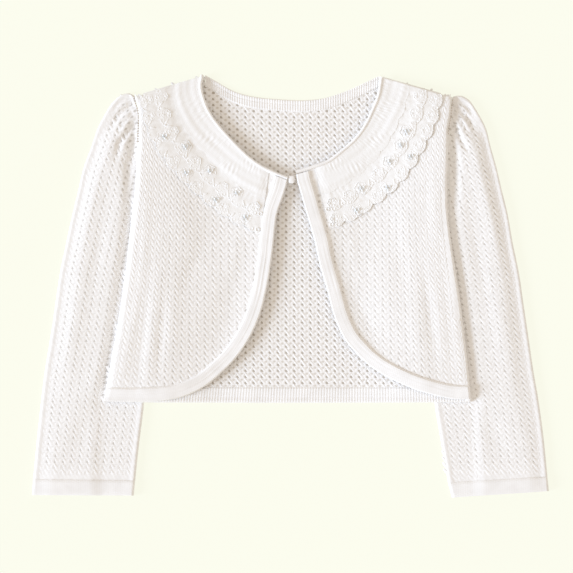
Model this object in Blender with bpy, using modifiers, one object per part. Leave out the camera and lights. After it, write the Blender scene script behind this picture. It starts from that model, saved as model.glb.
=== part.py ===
# Lace cardigan: a girl's knitted bolero laid flat on its back, neck towards +Y, closed at the neck.
# Every size below is in millimetres; MM turns it into Blender's metres where a mesh is made.
# The lowest layer rests at z = 0: sleeves and the back panel lie on the surface, the body's sides lie
# on the sleeves, the fronts lie on the back, and the collar lace lies on the fronts.

import math
from collections import namedtuple

import bpy
import numpy as np

MM = 0.001
MIDDLE = np.array([0.0, -0.9, 0.0])     # middle of the laid-out garment in the tables' axes

# Cloth and seams
KNIT_WALL = 1.6          # openwork knit of the panels and sleeves
CUFF_WALL = 2.0
LACE_WALL = 1.0
RIB_HEIGHT = 2.0         # ribbed bands of the back
BAND_HEIGHT = 2.7        # rolled band of the fronts, at its highest
SEAM_GAP = 0.4           # between the edges of pieces that are sewn together
LAY_GAP = 0.35           # between a piece and what it lies on

# How the layers lie
SLEEVE_EDGE = 4.2        # thickness of a sleeve along its folded edges
SLEEVE_SWELL = 12.0      # distance over which a sleeve rises from beside the body
CARRY = SLEEVE_EDGE + LAY_GAP
CARRY_CLEAR = 3.0        # the body starts to come down this far inside the sleeve under it
CARRY_RAMP = 19.0
BODY_LOFT = 1.5          # how far the fronts stand off the back
BODY_ROLL = 7.0          # width of the rolled side edge
HEM_LOFT = 0.35          # share of the loft that is left at the hem
HEM_REACH = 14.0         # distance over which the hem flattens the loft
EDGE_RISE = 1.45         # extra lift of the free front edges and the neckline
EDGE_REACH = 30.0        # distance over which that lift fades into the panel
EDGE_HEM_REACH = 45.0    # and its distances from the hem and from the side or shoulder seam
EDGE_SEAM_REACH = 22.0
HEM_Y = -96.0
UNDER_BODY_Y = 122.0     # below this height the sleeves pass under the body

BAND_WIDTH = 11.5
BAND_END_TURN = 0.07     # share of a band's length over which each end turns to meet its seam
BAND_ROWS = 44
BAND_CORNER_ROW = 27     # the row where the front edge becomes the hem
EDGE_CLEAR = 1.5 * SEAM_GAP      # between a panel and the band along its edge
PIPING_RADIUS = 1.4
PIPING_SHARES = (0.012, 1.0)     # share of the neckline that the piping covers
NECK_INSET = 3.3         # the panel's edge under the neckline's piping
NECK_BAND_DEPTH = 9.8
HEM_DEPTH = 12.3
HEM_SAG = 1.0            # the back's hem hangs lower in the middle
SHOULDER_DROP = 1.5      # the back's shoulder ends this far below the top of its neck
SHOULDER_CLEAR = 0.3     # a front's top edge lies this far below the shoulder line

Point = namedtuple("Point", "x y")
SleeveRow = namedtuple("SleeveRow", "outer_x outer_y inner_x inner_y rise")
Fold = namedtuple("Fold", "x y angle half_length half_width height")
Pleat = namedtuple("Pleat", "x0 y0 x1 y1 x2 y2 width depth")
Tier = namedtuple("Tier", "name reaches scallops scallop_depth lift wave")


def points(*pairs):
    return [Point(*pair) for pair in pairs]


# Armhole and side seam of the body, from the shoulder down to the hem
SIDES = {
    "left": points(
        (-128.0, 154.0), (-125.5, 148.5), (-124.0, 142.0), (-123.5, 135.5), (-124.0, 127.0),
        (-124.5, 119.0), (-126.0, 102.5), (-126.5, 86.0), (-128.5, 65.5), (-131.0, 45.0),
        (-133.5, 20.5), (-138.0, -12.5), (-142.0, -37.0), (-146.5, -61.5), (-150.0, -82.0),
        (-153.0, -96.0)),
    "right": points(
        (132.5, 154.0), (131.5, 148.5), (131.0, 142.0), (130.0, 135.5), (128.5, 127.0),
        (128.5, 115.0), (128.5, 102.5), (128.0, 86.0), (128.0, 65.5), (130.0, 45.0),
        (133.5, 20.5), (138.5, -12.5), (141.5, -37.0), (144.5, -61.5), (146.5, -82.0),
        (148.0, -96.0)),
}

# Visible edge of each front's neckline, from the shoulder to the centre front
NECKLINES = {
    "left": points(
        (-71.0, 172.0), (-72.5, 164.0), (-71.0, 155.0), (-66.0, 142.5), (-58.0, 131.0),
        (-49.5, 121.5), (-41.5, 113.0), (-33.0, 105.0), (-23.5, 98.5), (-13.5, 93.5), (-2.0, 89.0)),
    "right": points(
        (73.5, 171.5), (71.0, 156.5), (67.0, 146.0), (61.0, 133.0), (53.0, 121.5),
        (42.0, 111.5), (30.0, 102.5), (16.0, 97.5), (4.2, 94.0)),
}

# Visible edge of each front's band, from the neck round the curve and along the hem to the side
FREE_EDGES = {
    "left": points(
        (-2.3, 85.6), (-3.6, 80.0), (-5.8, 73.0), (-11.0, 57.5), (-13.5, 37.0), (-16.0, 16.5),
        (-19.5, -4.0), (-25.0, -24.5), (-33.0, -42.5), (-44.0, -59.0), (-56.0, -71.5),
        (-70.0, -83.0), (-86.5, -91.0), (-103.0, -94.5), (-127.5, -95.8), (-152.6, -95.5)),
    "right": points(
        (4.6, 90.4), (5.6, 84.5), (8.0, 77.0), (13.5, 57.5), (19.5, 37.0), (24.0, 16.5),
        (30.0, -4.0), (35.5, -24.5), (43.0, -42.0), (53.0, -55.0), (66.0, -67.0),
        (81.5, -76.5), (100.5, -85.0), (118.5, -90.5), (132.5, -93.3), (147.3, -94.0)),
}

# Top edge of the back of the neck
BACK_NECK = points(
    (-70.0, 172.5), (-61.0, 167.5), (-51.0, 161.5), (-41.5, 157.5), (-28.5, 154.5), (-12.0, 152.8),
    (8.0, 151.8), (24.0, 153.0), (37.5, 156.5), (50.5, 161.5), (63.5, 167.5), (73.0, 172.0))

# Edge of each sleeve where it is sewn into its armhole: beside the body at the top, under it lower down
ARMHOLES = {
    "left": points(
        (-129.2, 156.0), (-126.8, 149.0), (-124.7, 142.0), (-124.2, 135.0), (-124.5, 128.0),
        (-124.8, 120.0), (-124.4, 108.0), (-123.6, 95.0), (-122.6, 80.0), (-121.2, 62.0),
        (-119.4, 44.0), (-117.0, 24.0)),
    "right": points(
        (133.1, 154.5), (132.1, 149.0), (131.5, 142.0), (130.5, 135.0), (129.1, 127.0),
        (128.9, 119.0), (128.3, 108.0), (127.6, 95.0), (126.4, 80.0), (124.4, 62.0),
        (121.8, 44.0), (119.0, 24.0)),
}

# Sections of each sleeve: its outer fold, its inner fold and how far its top swells between them
SLEEVES = {
    "left": [SleeveRow(*row) for row in (
        (-129.2, 156.0, -117.0, 24.0, 0.8), (-133.0, 157.5, -116.7, 20.0, 1.8),
        (-139.0, 156.0, -116.4, 16.0, 2.3), (-144.5, 151.5, -116.2, 12.0, 2.6),
        (-149.5, 145.0, -115.9, 8.0, 2.6), (-154.0, 137.0, -115.6, 4.0, 2.6),
        (-158.5, 128.0, -115.4, 0.0, 2.6), (-163.5, 113.0, -115.1, -5.0, 2.5),
        (-169.5, 97.0, -114.8, -11.0, 2.4), (-174.0, 78.0, -114.4, -18.0, 2.3),
        (-179.0, 57.5, -114.2, -26.0, 2.2), (-184.0, 34.5, -114.2, -35.0, 2.1),
        (-189.0, 10.5, -114.8, -45.0, 2.0), (-193.0, -16.5, -115.6, -57.0, 1.9),
        (-197.0, -43.5, -116.9, -70.0, 1.8), (-201.5, -70.5, -118.8, -84.0, 1.7),
        (-205.0, -98.5, -121.0, -105.0, 1.6), (-208.0, -127.0, -124.3, -131.0, 1.4),
        (-211.2, -160.0, -127.5, -160.8, 1.2))],
    "right": [SleeveRow(*row) for row in (
        (133.1, 154.5, 119.0, 24.0, 0.8), (137.0, 155.5, 118.7, 20.0, 1.8),
        (141.5, 155.0, 118.4, 16.0, 2.3), (147.0, 151.5, 118.2, 12.0, 2.6),
        (152.0, 144.5, 117.9, 8.0, 2.6), (157.0, 136.0, 117.6, 4.0, 2.6),
        (161.0, 127.0, 117.3, 0.0, 2.6), (164.5, 113.0, 116.9, -5.0, 2.5),
        (169.0, 97.0, 116.4, -11.0, 2.4), (173.5, 78.0, 115.8, -18.0, 2.3),
        (178.5, 57.5, 115.3, -26.0, 2.2), (182.5, 34.5, 115.0, -35.0, 2.1),
        (187.5, 10.5, 115.0, -45.0, 2.0), (191.5, -16.5, 115.0, -57.0, 1.9),
        (195.5, -43.5, 115.8, -70.0, 1.8), (199.5, -70.5, 116.8, -84.0, 1.7),
        (204.0, -97.0, 119.6, -105.0, 1.6), (208.0, -127.0, 124.2, -131.5, 1.4),
        (211.0, -157.5, 129.5, -162.5, 1.2))],
}

# Where each cuff ends: its outer and its inner corner
CUFF_ENDS = {
    "left": SleeveRow(-212.2, -172.3, -128.6, -172.7, 1.0),
    "right": SleeveRow(212.2, -169.0, 132.6, -174.3, 1.0),
}

# Soft ridges of each front, and pleats where each sleeve is gathered into its armhole
FRONT_FOLDS = {
    "left": [Fold(-64.0, -4.0, 69.0, 36.0, 13.0, 0.8), Fold(-114.0, -40.0, 84.0, 45.0, 6.0, 0.7),
             Fold(-97.0, -30.0, 86.0, 40.0, 7.0, 0.5), Fold(-88.0, 52.0, 100.0, 26.0, 10.0, 0.5)],
    "right": [Fold(78.0, -12.0, 102.0, 36.0, 13.0, 0.8), Fold(104.0, -36.0, 96.0, 42.0, 8.0, 0.7),
              Fold(123.0, -30.0, 96.0, 44.0, 6.0, 0.6), Fold(96.0, 56.0, 84.0, 26.0, 10.0, 0.5)],
}
SLEEVE_PLEATS = {
    "left": [Pleat(-131.0, 148.0, -143.0, 136.0, -151.5, 124.0, 3.2, 1.6),
             Pleat(-129.0, 131.0, -140.0, 117.0, -145.0, 96.0, 3.4, 2.0),
             Pleat(-127.5, 119.0, -133.0, 98.0, -135.0, 58.0, 3.2, 1.6)],
    "right": [Pleat(134.0, 146.0, 146.0, 137.0, 155.0, 120.0, 3.2, 1.6),
              Pleat(132.0, 133.0, 140.5, 117.0, 148.0, 98.0, 3.4, 2.0),
              Pleat(131.5, 112.0, 135.0, 92.0, 137.0, 55.0, 3.2, 1.4)],
}

PLEAT_FADE = 1.6         # how far down its line a pleat stays deep before it fades out
PLEAT_START = 4.0        # distance over which pleats start beside the body's edge
PLEAT_BELOW_EDGE = 0.6   # a pleat may sink this far below the fold's thickness
FOLD_SHARE = 0.18        # share of a sleeve's width over which its top rises from the outer fold

# Points across a sleeve's top, beside the body and under it, and how its first sections hug the armhole
SWELL_SHARES = np.array([0, .05, .1, .15, .2, .25, .3, .36, .43, .52, .63, .76, .9])
HIDDEN_SHARES = np.array([0, .5, 1.0])
HUGS = [1.0, 0.72, 0.5, 0.33, 0.2, 0.1] + [0.0] * 13
# Rings of a cuff: share of its length and how far it stands proud of the sleeve
CUFF_RINGS = [(0.045, 0.3), (0.12, 0.7), (0.5, 0.7), (0.9, 0.7), (1.0, 0.3)]

# Collar lace, as distances out from the neckline; the outer row lies lowest
TIERS = [
    Tier("outer", (35.0, 44.5, 54.0), 11, 2.4, 0.0, 0.9),
    Tier("middle", (20.0, 28.0, 34.2, 41.0), 9, 2.2, LACE_WALL + LAY_GAP, 0.9),
    Tier("inner", (3.9, 13.0, 19.2, 25.5), 8, 1.6, LACE_WALL + LAY_GAP, 0.7),
]
SCALLOP_STEPS = 4
LACE_GAP = 0.6

# Direction in which the collar runs out from the neck, in degrees, at the shoulder and at the front
COLLAR_FAN = {"left": (199.5, 258.0), "right": (-19.5, -76.5)}
COLLAR_REACH = {"left": (0.02, 0.85), "right": (0.02, 0.86)}

# Front band across its width: a rolled edge, then a flat ribbed strip; height as a share of BAND_HEIGHT
BAND_PROFILE = [
    Point(0.03, 0.0), Point(0.0, 0.38), Point(0.05, 0.82), Point(0.14, 1.0), Point(0.27, 0.78),
    Point(0.6, 0.85), Point(0.9, 0.78), Point(1.0, 0.55), Point(1.0, 0.0), Point(0.5, 0.0)]
RIB_PROFILE = [
    Point(0.02, 0.0), Point(0.0, 0.5), Point(0.06, 0.93), Point(0.3, 1.0), Point(0.75, 1.0),
    Point(1.0, 0.85), Point(1.0, 0.0), Point(0.5, 0.0)]

TAB_CENTRE = Point(0.95, 86.4)
TAB_SIZE = (5.0, 6.2, 1.8)
TAB_ROUNDING = 0.5

COLOURS = {
    "knit": (0.86, 0.85, 0.83), "rib": (0.87, 0.86, 0.85), "lace": (0.9, 0.89, 0.89),
}
ROUGHNESS = 0.9


def ease(t):
    """0 below 0, 1 above 1, with a soft start and end."""
    t = np.clip(t, 0.0, 1.0)
    return t * t * (3.0 - 2.0 * t)


def smooth_path(knots, fractions):
    """Points on a Catmull-Rom curve through the knots, at shares of its length."""
    p = np.array(knots, float)
    padded = np.vstack([2 * p[0] - p[1], p, 2 * p[-1] - p[-2]])
    t = np.linspace(0.0, 1.0, 12, endpoint=False)[:, None]
    spans = []
    for a, b, c, d in zip(padded, padded[1:], padded[2:], padded[3:]):
        spans.append(0.5 * (2 * b + (c - a) * t + (2 * a - 5 * b + 4 * c - d) * t ** 2
                            + (3 * b - a - 3 * c + d) * t ** 3))
    curve = np.vstack(spans + [p[-1:]])
    along = np.concatenate([[0.0], np.cumsum(np.hypot(*np.diff(curve, axis=0).T))])
    wanted = np.asarray(fractions) * along[-1]
    return np.stack([np.interp(wanted, along, curve[:, k]) for k in (0, 1)], axis=1)


def directions(path):
    """Unit vector along the path at each of its points."""
    step = np.gradient(path, axis=0)
    return step / np.hypot(*step.T)[:, None]


def mirror_sign(side):
    return -1.0 if side == "left" else 1.0


def side_x(side, y):
    rows = SIDES[side][::-1]
    return np.interp(y, [p.y for p in rows], [p.x for p in rows])


def shoulder_y(side, x):
    """Height of the shoulder line above a point."""
    ends = sorted([SIDES[side][0], NECKLINES[side][0]])
    return np.interp(x, [p.x for p in ends], [p.y for p in ends])


def distance_to(path, x, y):
    """Shortest distance from each point to a chain of straight runs."""
    start, run = path[:-1], np.diff(path, axis=0)
    dx = x[..., None] - start[:, 0]
    dy = y[..., None] - start[:, 1]
    share = np.clip((dx * run[:, 0] + dy * run[:, 1]) / (run ** 2).sum(axis=1), 0.0, 1.0)
    return np.hypot(dx - share * run[:, 0], dy - share * run[:, 1]).min(axis=-1)


def carried_height(x, y):
    """How high the body lies: on the surface in the middle, on the sleeves at its sides."""
    height = np.zeros(np.shape(x))
    for side, armhole in ARMHOLES.items():
        under = [p for p in armhole if p.y < UNDER_BODY_Y]
        under += [Point(r.inner_x, r.inner_y) for r in SLEEVES[side][1:]]
        edge = np.interp(y, [p.y for p in under[::-1]], [p.x for p in under[::-1]])
        inside = np.maximum((edge - x) * mirror_sign(side), 0.0)
        away = np.hypot(inside, np.maximum(y - UNDER_BODY_Y, 0.0))
        height = np.maximum(height, CARRY * ease(1.0 - (away - CARRY_CLEAR) / CARRY_RAMP))
    return height


def fold_height(folds, x, y):
    total = np.zeros(np.shape(x))
    for fold in folds:
        c, s = math.cos(math.radians(fold.angle)), math.sin(math.radians(fold.angle))
        along = (x - fold.x) * c + (y - fold.y) * s
        across = (y - fold.y) * c - (x - fold.x) * s
        total += fold.height * np.exp(-(along / fold.half_length) ** 2 - (across / fold.half_width) ** 2)
    return total


def front_floor(side, x, y):
    """Underside of a front: over the back, rolled down at the side and shoulder, lifted at its edges."""
    x, y = np.asarray(x, float), np.asarray(y, float)
    in_from_side = (side_x(side, y) - x) * mirror_sign(side)
    below_shoulder = shoulder_y(side, x) - y
    rolled = ease(in_from_side / BODY_ROLL) * ease(below_shoulder / BODY_ROLL)
    above_hem = HEM_LOFT + (1.0 - HEM_LOFT) * ease((y - HEM_Y) / HEM_REACH)
    edge = np.vstack([smooth_path(NECKLINES[side], np.linspace(0, 1, 14)),
                      smooth_path(FREE_EDGES[side], np.linspace(0, 1, 30))])
    free = ease(1.0 - distance_to(edge, x, y) / EDGE_REACH) * ease((y - HEM_Y) / EDGE_HEM_REACH)
    free = free * ease(in_from_side / EDGE_SEAM_REACH) * ease(below_shoulder / EDGE_SEAM_REACH)
    loft = (BODY_LOFT + fold_height(FRONT_FOLDS[side], x, y) * (1.0 - free)) * rolled * above_hem
    return carried_height(x, y) + RIB_HEIGHT + LAY_GAP + loft + EDGE_RISE * free


def placed(vertices):
    """Millimetres in the tables' axes to metres about the middle of the garment."""
    return (np.asarray(vertices, float) - MIDDLE) * MM


def material(kind):
    if kind in bpy.data.materials:
        return bpy.data.materials[kind]
    made = bpy.data.materials.new(kind)
    made.use_nodes = True
    shader = made.node_tree.nodes["Principled BSDF"]
    shader.inputs["Base Color"].default_value = (*COLOURS[kind], 1.0)
    shader.inputs["Roughness"].default_value = ROUGHNESS
    shader.inputs["Metallic"].default_value = 0.0
    return made


def add_object(name, vertices, faces, kind):
    mesh = bpy.data.meshes.new(name)
    mesh.from_pydata(placed(vertices).tolist(), [], faces)
    mesh.validate()
    mesh.shade_smooth()
    mesh.materials.append(material(kind).copy())
    obj = bpy.data.objects.new(name, mesh)
    cardigan.objects.link(obj)
    return obj


def solidify(obj, wall, outwards):
    shell = obj.modifiers.new("Cloth", "SOLIDIFY")
    shell.thickness = wall * MM
    shell.offset = 1.0 if outwards else -1.0
    shell.use_even_offset = outwards
    return obj


def grid_faces(rows, columns, closed=False):
    wide = columns if closed else columns - 1
    return [(r * columns + c, r * columns + (c + 1) % columns,
             (r + 1) * columns + (c + 1) % columns, (r + 1) * columns + c)
            for r in range(rows - 1) for c in range(wide)]


def volume_of(vertices, faces):
    """Six times the signed volume of a closed shape, fanned from each face's first corner."""
    v = np.asarray(vertices)
    return sum(np.dot(v[f[0]], np.cross(v[f[i]], v[f[i + 1]]))
               for f in faces for i in range(1, len(f) - 1))


def sheet(name, grid, wall, kind):
    """A cloth sheet: an open grid of its underside, thickened upwards."""
    rows, columns = grid.shape[:2]
    faces = grid_faces(rows, columns)
    diagonals = np.cross(grid[1:, 1:] - grid[:-1, :-1], grid[1:, :-1] - grid[:-1, 1:])
    if diagonals[..., 2].sum() < 0.0:
        faces = [face[::-1] for face in faces]
    return solidify(add_object(name, grid.reshape(-1, 3), faces, kind), wall, True)


def tube(name, rings, wall, kind):
    """A flattened tube, open at both ends: rings of its outside, thickened inwards."""
    rings = np.asarray(rings)
    count, around = rings.shape[:2]
    faces = grid_faces(count, around, closed=True)
    caps = [tuple(range(around))[::-1], tuple(range((count - 1) * around, count * around))]
    if volume_of(rings.reshape(-1, 3), faces + caps) < 0.0:
        faces = [face[::-1] for face in faces]
    return solidify(add_object(name, rings.reshape(-1, 3), faces, kind), wall, False)


def strip(name, outer, inner, profile, height, floor, kind):
    """A band carried along two edges: its profile runs across, and it lies on the floor under it."""
    rings = []
    for start, end in zip(outer, inner):
        across = np.array([start + (end - start) * p.x for p in profile])
        lifts = np.array([p.y * height for p in profile])
        rings.append(np.column_stack([across, floor(across[:, 0], across[:, 1]) + lifts]))
    rings = np.asarray(rings)
    count, around = rings.shape[:2]
    faces = grid_faces(count, around, closed=True)
    faces += [tuple(range(around))[::-1], tuple(range((count - 1) * around, count * around))]
    if volume_of(rings.reshape(-1, 3), faces) < 0.0:
        faces = [face[::-1] for face in faces]
    return add_object(name, rings.reshape(-1, 3), faces, kind)


def coons(top, bottom, left, right, u, v):
    """A grid filled in between four edges."""
    u, v = u[None, :, None], v[:, None, None]
    corners = ((1 - u) * (1 - v) * top[0] + u * (1 - v) * top[-1]
               + (1 - u) * v * bottom[0] + u * v * bottom[-1])
    return ((1 - v) * top[None] + v * bottom[None]
            + (1 - u) * left[:, None] + u * right[:, None] - corners)


def with_height(flat, height):
    return np.concatenate([flat, height[..., None]], axis=-1)


def turned(start, end, share):
    """Unit vectors that turn from one direction to another."""
    angle = np.arctan2(start[:, 1], start[:, 0])
    turn = np.arctan2(end[1], end[0]) - angle
    turn = (turn + math.pi) % (2 * math.pi) - math.pi
    angle = angle + turn * share
    return np.column_stack([np.cos(angle), np.sin(angle)])


def band_edges(side, gap=0.0):
    """The front band's visible edge and its inner edge, which ends along the neckline and the side."""
    path = smooth_path(FREE_EDGES[side], np.linspace(0.0, 1.0, BAND_ROWS))
    sign = mirror_sign(side)
    along = directions(path)
    normal = np.column_stack([-along[:, 1], along[:, 0]]) * sign
    share = np.linspace(0.0, 1.0, len(path))
    neck = NECKLINES[side]
    neck_way = np.array(neck[-2]) - np.array(neck[-1])
    side_way = np.array(SIDES[side][-2]) - np.array(SIDES[side][-1])
    normal = turned(normal, neck_way, 1.0 - ease(share / BAND_END_TURN))
    normal = turned(normal, side_way, ease((share - 1.0 + BAND_END_TURN) / BAND_END_TURN))
    return path, path + normal * (BAND_WIDTH + gap)


def neck_edge(side, inset, fractions):
    """The neckline moved out from the neck, over the panel."""
    path = smooth_path(NECKLINES[side], fractions)
    along = directions(path)
    return path + np.column_stack([-along[:, 1], along[:, 0]]) * mirror_sign(side) * inset


def build_back():
    hem_top = HEM_Y + HEM_DEPTH + SEAM_GAP
    neck = smooth_path(BACK_NECK, np.linspace(0.0, 1.0, 200)) - [0.0, NECK_BAND_DEPTH + EDGE_CLEAR]
    step = {"left": neck[0, 0] - SEAM_GAP, "right": neck[-1, 0] + SEAM_GAP}
    down = np.linspace(0.0, 1.0, 16)[:, None]
    beside = np.array([0, .07, .15, .24, .33, .43, .56, .7, .85, 1.0])
    middle_x = step["left"] + np.linspace(0.0, 1.0, 11) * (step["right"] - step["left"])
    middle_top = np.interp(middle_x, neck[:, 0], neck[:, 1])
    middle_y = middle_top + down * (hem_top - middle_top)
    middle = np.stack([np.tile(middle_x, (len(down), 1)), middle_y], axis=-1)
    wings = {}
    for side, near in (("left", BACK_NECK[0]), ("right", BACK_NECK[-1])):
        sign = mirror_sign(side)
        shoulder = SIDES[side][0].y + beside * (near.y - SHOULDER_DROP - SIDES[side][0].y)
        y = shoulder + down * (hem_top - shoulder)
        edge = side_x(side, y) - sign * SEAM_GAP
        x = edge + beside * (step[side] + sign * 1.0 - edge)
        wings[side] = np.stack([x, y], axis=-1)
    flat = np.concatenate([wings["left"], middle, wings["right"][:, ::-1]], axis=1)
    sheet("back", with_height(flat, carried_height(flat[..., 0], flat[..., 1])), KNIT_WALL, "knit")


def build_back_bands():
    ends = np.linspace(0.0, 1.0, 26)
    neck = smooth_path(BACK_NECK, ends)
    lower = neck - [0.0, NECK_BAND_DEPTH]
    strip("back_neck_band", neck, lower, RIB_PROFILE, RIB_HEIGHT, lambda x, y: np.zeros(x.shape), "rib")
    u = np.array([0, .02, .04, .06, .08, .1, .12, .15, .2, .3, .4, .5, .6, .7, .8, .85, .88, .9, .92,
                  .94, .96, .98, 1.0])
    low_left, low_right = SIDES["left"][-1].x, SIDES["right"][-1].x
    hem_top = HEM_Y + HEM_DEPTH
    top_left, top_right = side_x("left", hem_top), side_x("right", hem_top)
    lower = np.column_stack([low_left + u * (low_right - low_left), HEM_Y - HEM_SAG * np.sin(math.pi * u)])
    upper = np.column_stack([top_left + u * (top_right - top_left), np.full(len(u), hem_top)])
    strip("back_hem", lower, upper, RIB_PROFILE, RIB_HEIGHT, carried_height, "rib")


def build_front(side):
    sign = mirror_sign(side)
    u = np.array([0, .035, .08, .14, .21, .3, .4, .5, .6, .7, .8, .9, 1.0])
    v = np.concatenate([np.linspace(0.0, 0.24, 9)[:-1], np.linspace(0.24, 1.0, 14)])
    _, inner = band_edges(side, EDGE_CLEAR)
    neck = neck_edge(side, NECK_INSET + SEAM_GAP, np.linspace(0.015, 1.0, 24))
    neck = neck[(neck[:, 0] - inner[0, 0]) * sign > 1.0]        # the rest lies beside the band
    free_side = smooth_path(np.vstack([neck, inner[0:BAND_CORNER_ROW + 1:3]]).tolist(), v)
    seam = smooth_path(SIDES[side], np.linspace(0.0, 1.0, 20)) - [sign * SEAM_GAP / 2.0, 0.0]
    seam = seam[seam[:, 1] > inner[-1, 1] + 1.5]                # the rest lies below the band
    seam_side = smooth_path(seam.tolist() + [inner[-1].tolist()], v)
    top = seam_side[0] + (free_side[0] - seam_side[0]) * u[:, None]
    top[:, 1] -= SHOULDER_CLEAR
    seam_side[0], free_side[0] = top[0], top[-1]
    bottom = smooth_path(inner[BAND_CORNER_ROW:][::-1].tolist(), u)
    seam_side[-1], free_side[-1] = bottom[0], bottom[-1]
    flat = coons(top, bottom, seam_side, free_side, u, v)
    height = front_floor(side, flat[..., 0], flat[..., 1])
    sheet("front_" + side, with_height(flat, height), KNIT_WALL, "knit")
    outer, inner = band_edges(side)
    strip("front_band_" + side, outer, inner, BAND_PROFILE, BAND_HEIGHT,
          lambda x, y: front_floor(side, x, y), "rib")


def build_piping(side):
    """A thin rolled binding along the neckline."""
    path = neck_edge(side, PIPING_RADIUS, np.linspace(*PIPING_SHARES, 22))
    height = front_floor(side, path[:, 0], path[:, 1]) + PIPING_RADIUS
    curve = bpy.data.curves.new("neck_piping_" + side, "CURVE")
    curve.dimensions = "3D"
    curve.bevel_depth = PIPING_RADIUS * MM
    curve.bevel_resolution = 2
    curve.use_fill_caps = True
    spline = curve.splines.new("POLY")
    spline.points.add(len(path) - 1)
    for knot, place in zip(spline.points, placed(np.column_stack([path, height]))):
        knot.co = (*place, 1.0)
    curve.materials.append(material("rib").copy())
    cardigan.objects.link(bpy.data.objects.new(curve.name, curve))


def pleat_depth(pleats, x, y):
    depth = np.zeros(np.shape(x))
    for pleat in pleats:
        line = np.array([(pleat.x0, pleat.y0), (pleat.x1, pleat.y1), (pleat.x2, pleat.y2)])
        start = np.hypot(x - pleat.x0, y - pleat.y0)
        end = np.hypot(x - pleat.x2, y - pleat.y2)
        fade = ease(end / (start + end + 1e-6) * PLEAT_FADE)
        depth += pleat.depth * fade * np.exp(-(distance_to(line, x, y) / pleat.width) ** 2)
    return depth


def section_line(side, row, hug, share):
    """Points of a sleeve section from its outer to its inner fold.
    hug is how closely it follows the armhole instead of a straight line."""
    outer, inner = np.array([row.outer_x, row.outer_y]), np.array([row.inner_x, row.inner_y])
    armhole = smooth_path(ARMHOLES[side], np.linspace(0.0, 1.0, 60))
    straight = armhole[0] + (armhole[-1] - armhole[0]) * np.linspace(0.0, 1.0, 60)[:, None]
    bow = np.interp(share, np.linspace(0.0, 1.0, 60), (armhole - straight)[:, 0])
    line = outer + (inner - outer) * share[:, None]
    line[:, 0] += hug * bow
    return line


def sleeve_ring(side, row, hug, edge):
    """One section of a flattened sleeve: flat below, rounded at both folds, swelling above."""
    sign = mirror_sign(side)
    radius = edge / 2.0
    margin = radius / np.hypot(row.outer_x - row.inner_x, row.outer_y - row.inner_y)
    tries = np.linspace(0.0, 1.0, 101)
    line = section_line(side, row, hug, tries)
    beyond = (line[:, 0] - side_x(side, line[:, 1])) * sign
    crossing = min(tries[beyond > 0.0][-1], 0.95)
    t = np.concatenate([margin + SWELL_SHARES * (crossing - margin),
                        crossing + HIDDEN_SHARES * (1.0 - margin - crossing)])
    angles = np.radians([45.0, 0.0, -45.0])
    under_t = np.linspace(1.0 - margin, margin, 6)
    share = np.concatenate([t, 1.0 - margin + margin * np.cos(angles), under_t,
                            margin - margin * np.cos(angles)])
    flat = section_line(side, row, hug, share)
    x, y = flat[:len(t)].T
    beyond = (x - side_x(side, y)) * sign
    swell = row.rise * ease((t - margin) / FOLD_SHARE) * ease(beyond / SLEEVE_SWELL)
    pleats = pleat_depth(SLEEVE_PLEATS[side], x, y) * ease(beyond / PLEAT_START)
    top = edge + swell - np.minimum(pleats, swell + PLEAT_BELOW_EDGE)
    rounded = radius + radius * np.sin(angles)
    height = np.concatenate([top, rounded, np.zeros(len(under_t)), rounded[::-1]])
    return np.column_stack([flat, height])


def build_sleeve(side):
    rows = SLEEVES[side]
    rings = [sleeve_ring(side, row, hug, SLEEVE_EDGE) for row, hug in zip(rows, HUGS)]
    tube("sleeve_" + side, rings, KNIT_WALL, "knit")
    last, end = rows[-1], CUFF_ENDS[side]
    cuff = []
    for share, proud in CUFF_RINGS:
        mixed = SleeveRow(*[a + (b - a) * share for a, b in zip(last, end)])
        cuff.append(sleeve_ring(side, mixed, 0.0, SLEEVE_EDGE + proud))
    tube("cuff_" + side, cuff, CUFF_WALL, "rib")


def build_lace(side, tier):
    """One row of collar lace: it fans out from the neckline, with a scalloped, lightly waved edge."""
    count = tier.scallops * SCALLOP_STEPS + 1
    share = np.linspace(0.0, 1.0, count)
    first, last = COLLAR_REACH[side]
    neck = smooth_path(NECKLINES[side], first + share * (last - first))
    start, end = COLLAR_FAN[side]
    angle = np.radians(start + (end - start) * share)
    lobe = np.abs(np.sin(math.pi * tier.scallops * share))
    reach = np.repeat(np.array(tier.reaches)[:, None], count, axis=1)
    reach[-1] -= tier.scallop_depth * (1.0 - lobe)
    x = neck[:, 0] + reach * np.cos(angle)
    y = neck[:, 1] + reach * np.sin(angle)
    lift, wave = np.zeros((len(reach), 1)), np.zeros((len(reach), 1))
    lift[-2:] = tier.lift
    wave[-1] = tier.wave
    height = front_floor(side, x, y) + KNIT_WALL + LACE_GAP + lift + wave * lobe
    sheet(f"lace_{tier.name}_{side}", np.stack([x, y, height], axis=-1), LACE_WALL, "lace")


def build_tab():
    """The small fastening tab that holds the fronts together at the neck."""
    floor = float(front_floor("left", TAB_CENTRE.x - 3.0, TAB_CENTRE.y))
    bpy.ops.mesh.primitive_cube_add(size=1.0)
    tab = bpy.context.active_object
    tab.name = "neck_tab"
    tab.data.name = "neck_tab"
    centre = np.array([TAB_CENTRE.x, TAB_CENTRE.y, floor + TAB_SIZE[2] / 2.0 + LAY_GAP])
    for vertex in tab.data.vertices:
        vertex.co = placed(centre + np.array(vertex.co) * TAB_SIZE)
    rounded = tab.modifiers.new("Rounded", "BEVEL")
    rounded.width = TAB_ROUNDING * MM
    rounded.segments = 2
    tab.data.materials.append(material("rib").copy())
    for holder in list(tab.users_collection):
        holder.objects.unlink(tab)
    cardigan.objects.link(tab)


for old in list(bpy.data.objects):
    bpy.data.objects.remove(old, do_unlink=True)
cardigan = bpy.data.collections.new("lace_cardigan")
bpy.context.scene.collection.children.link(cardigan)

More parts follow.
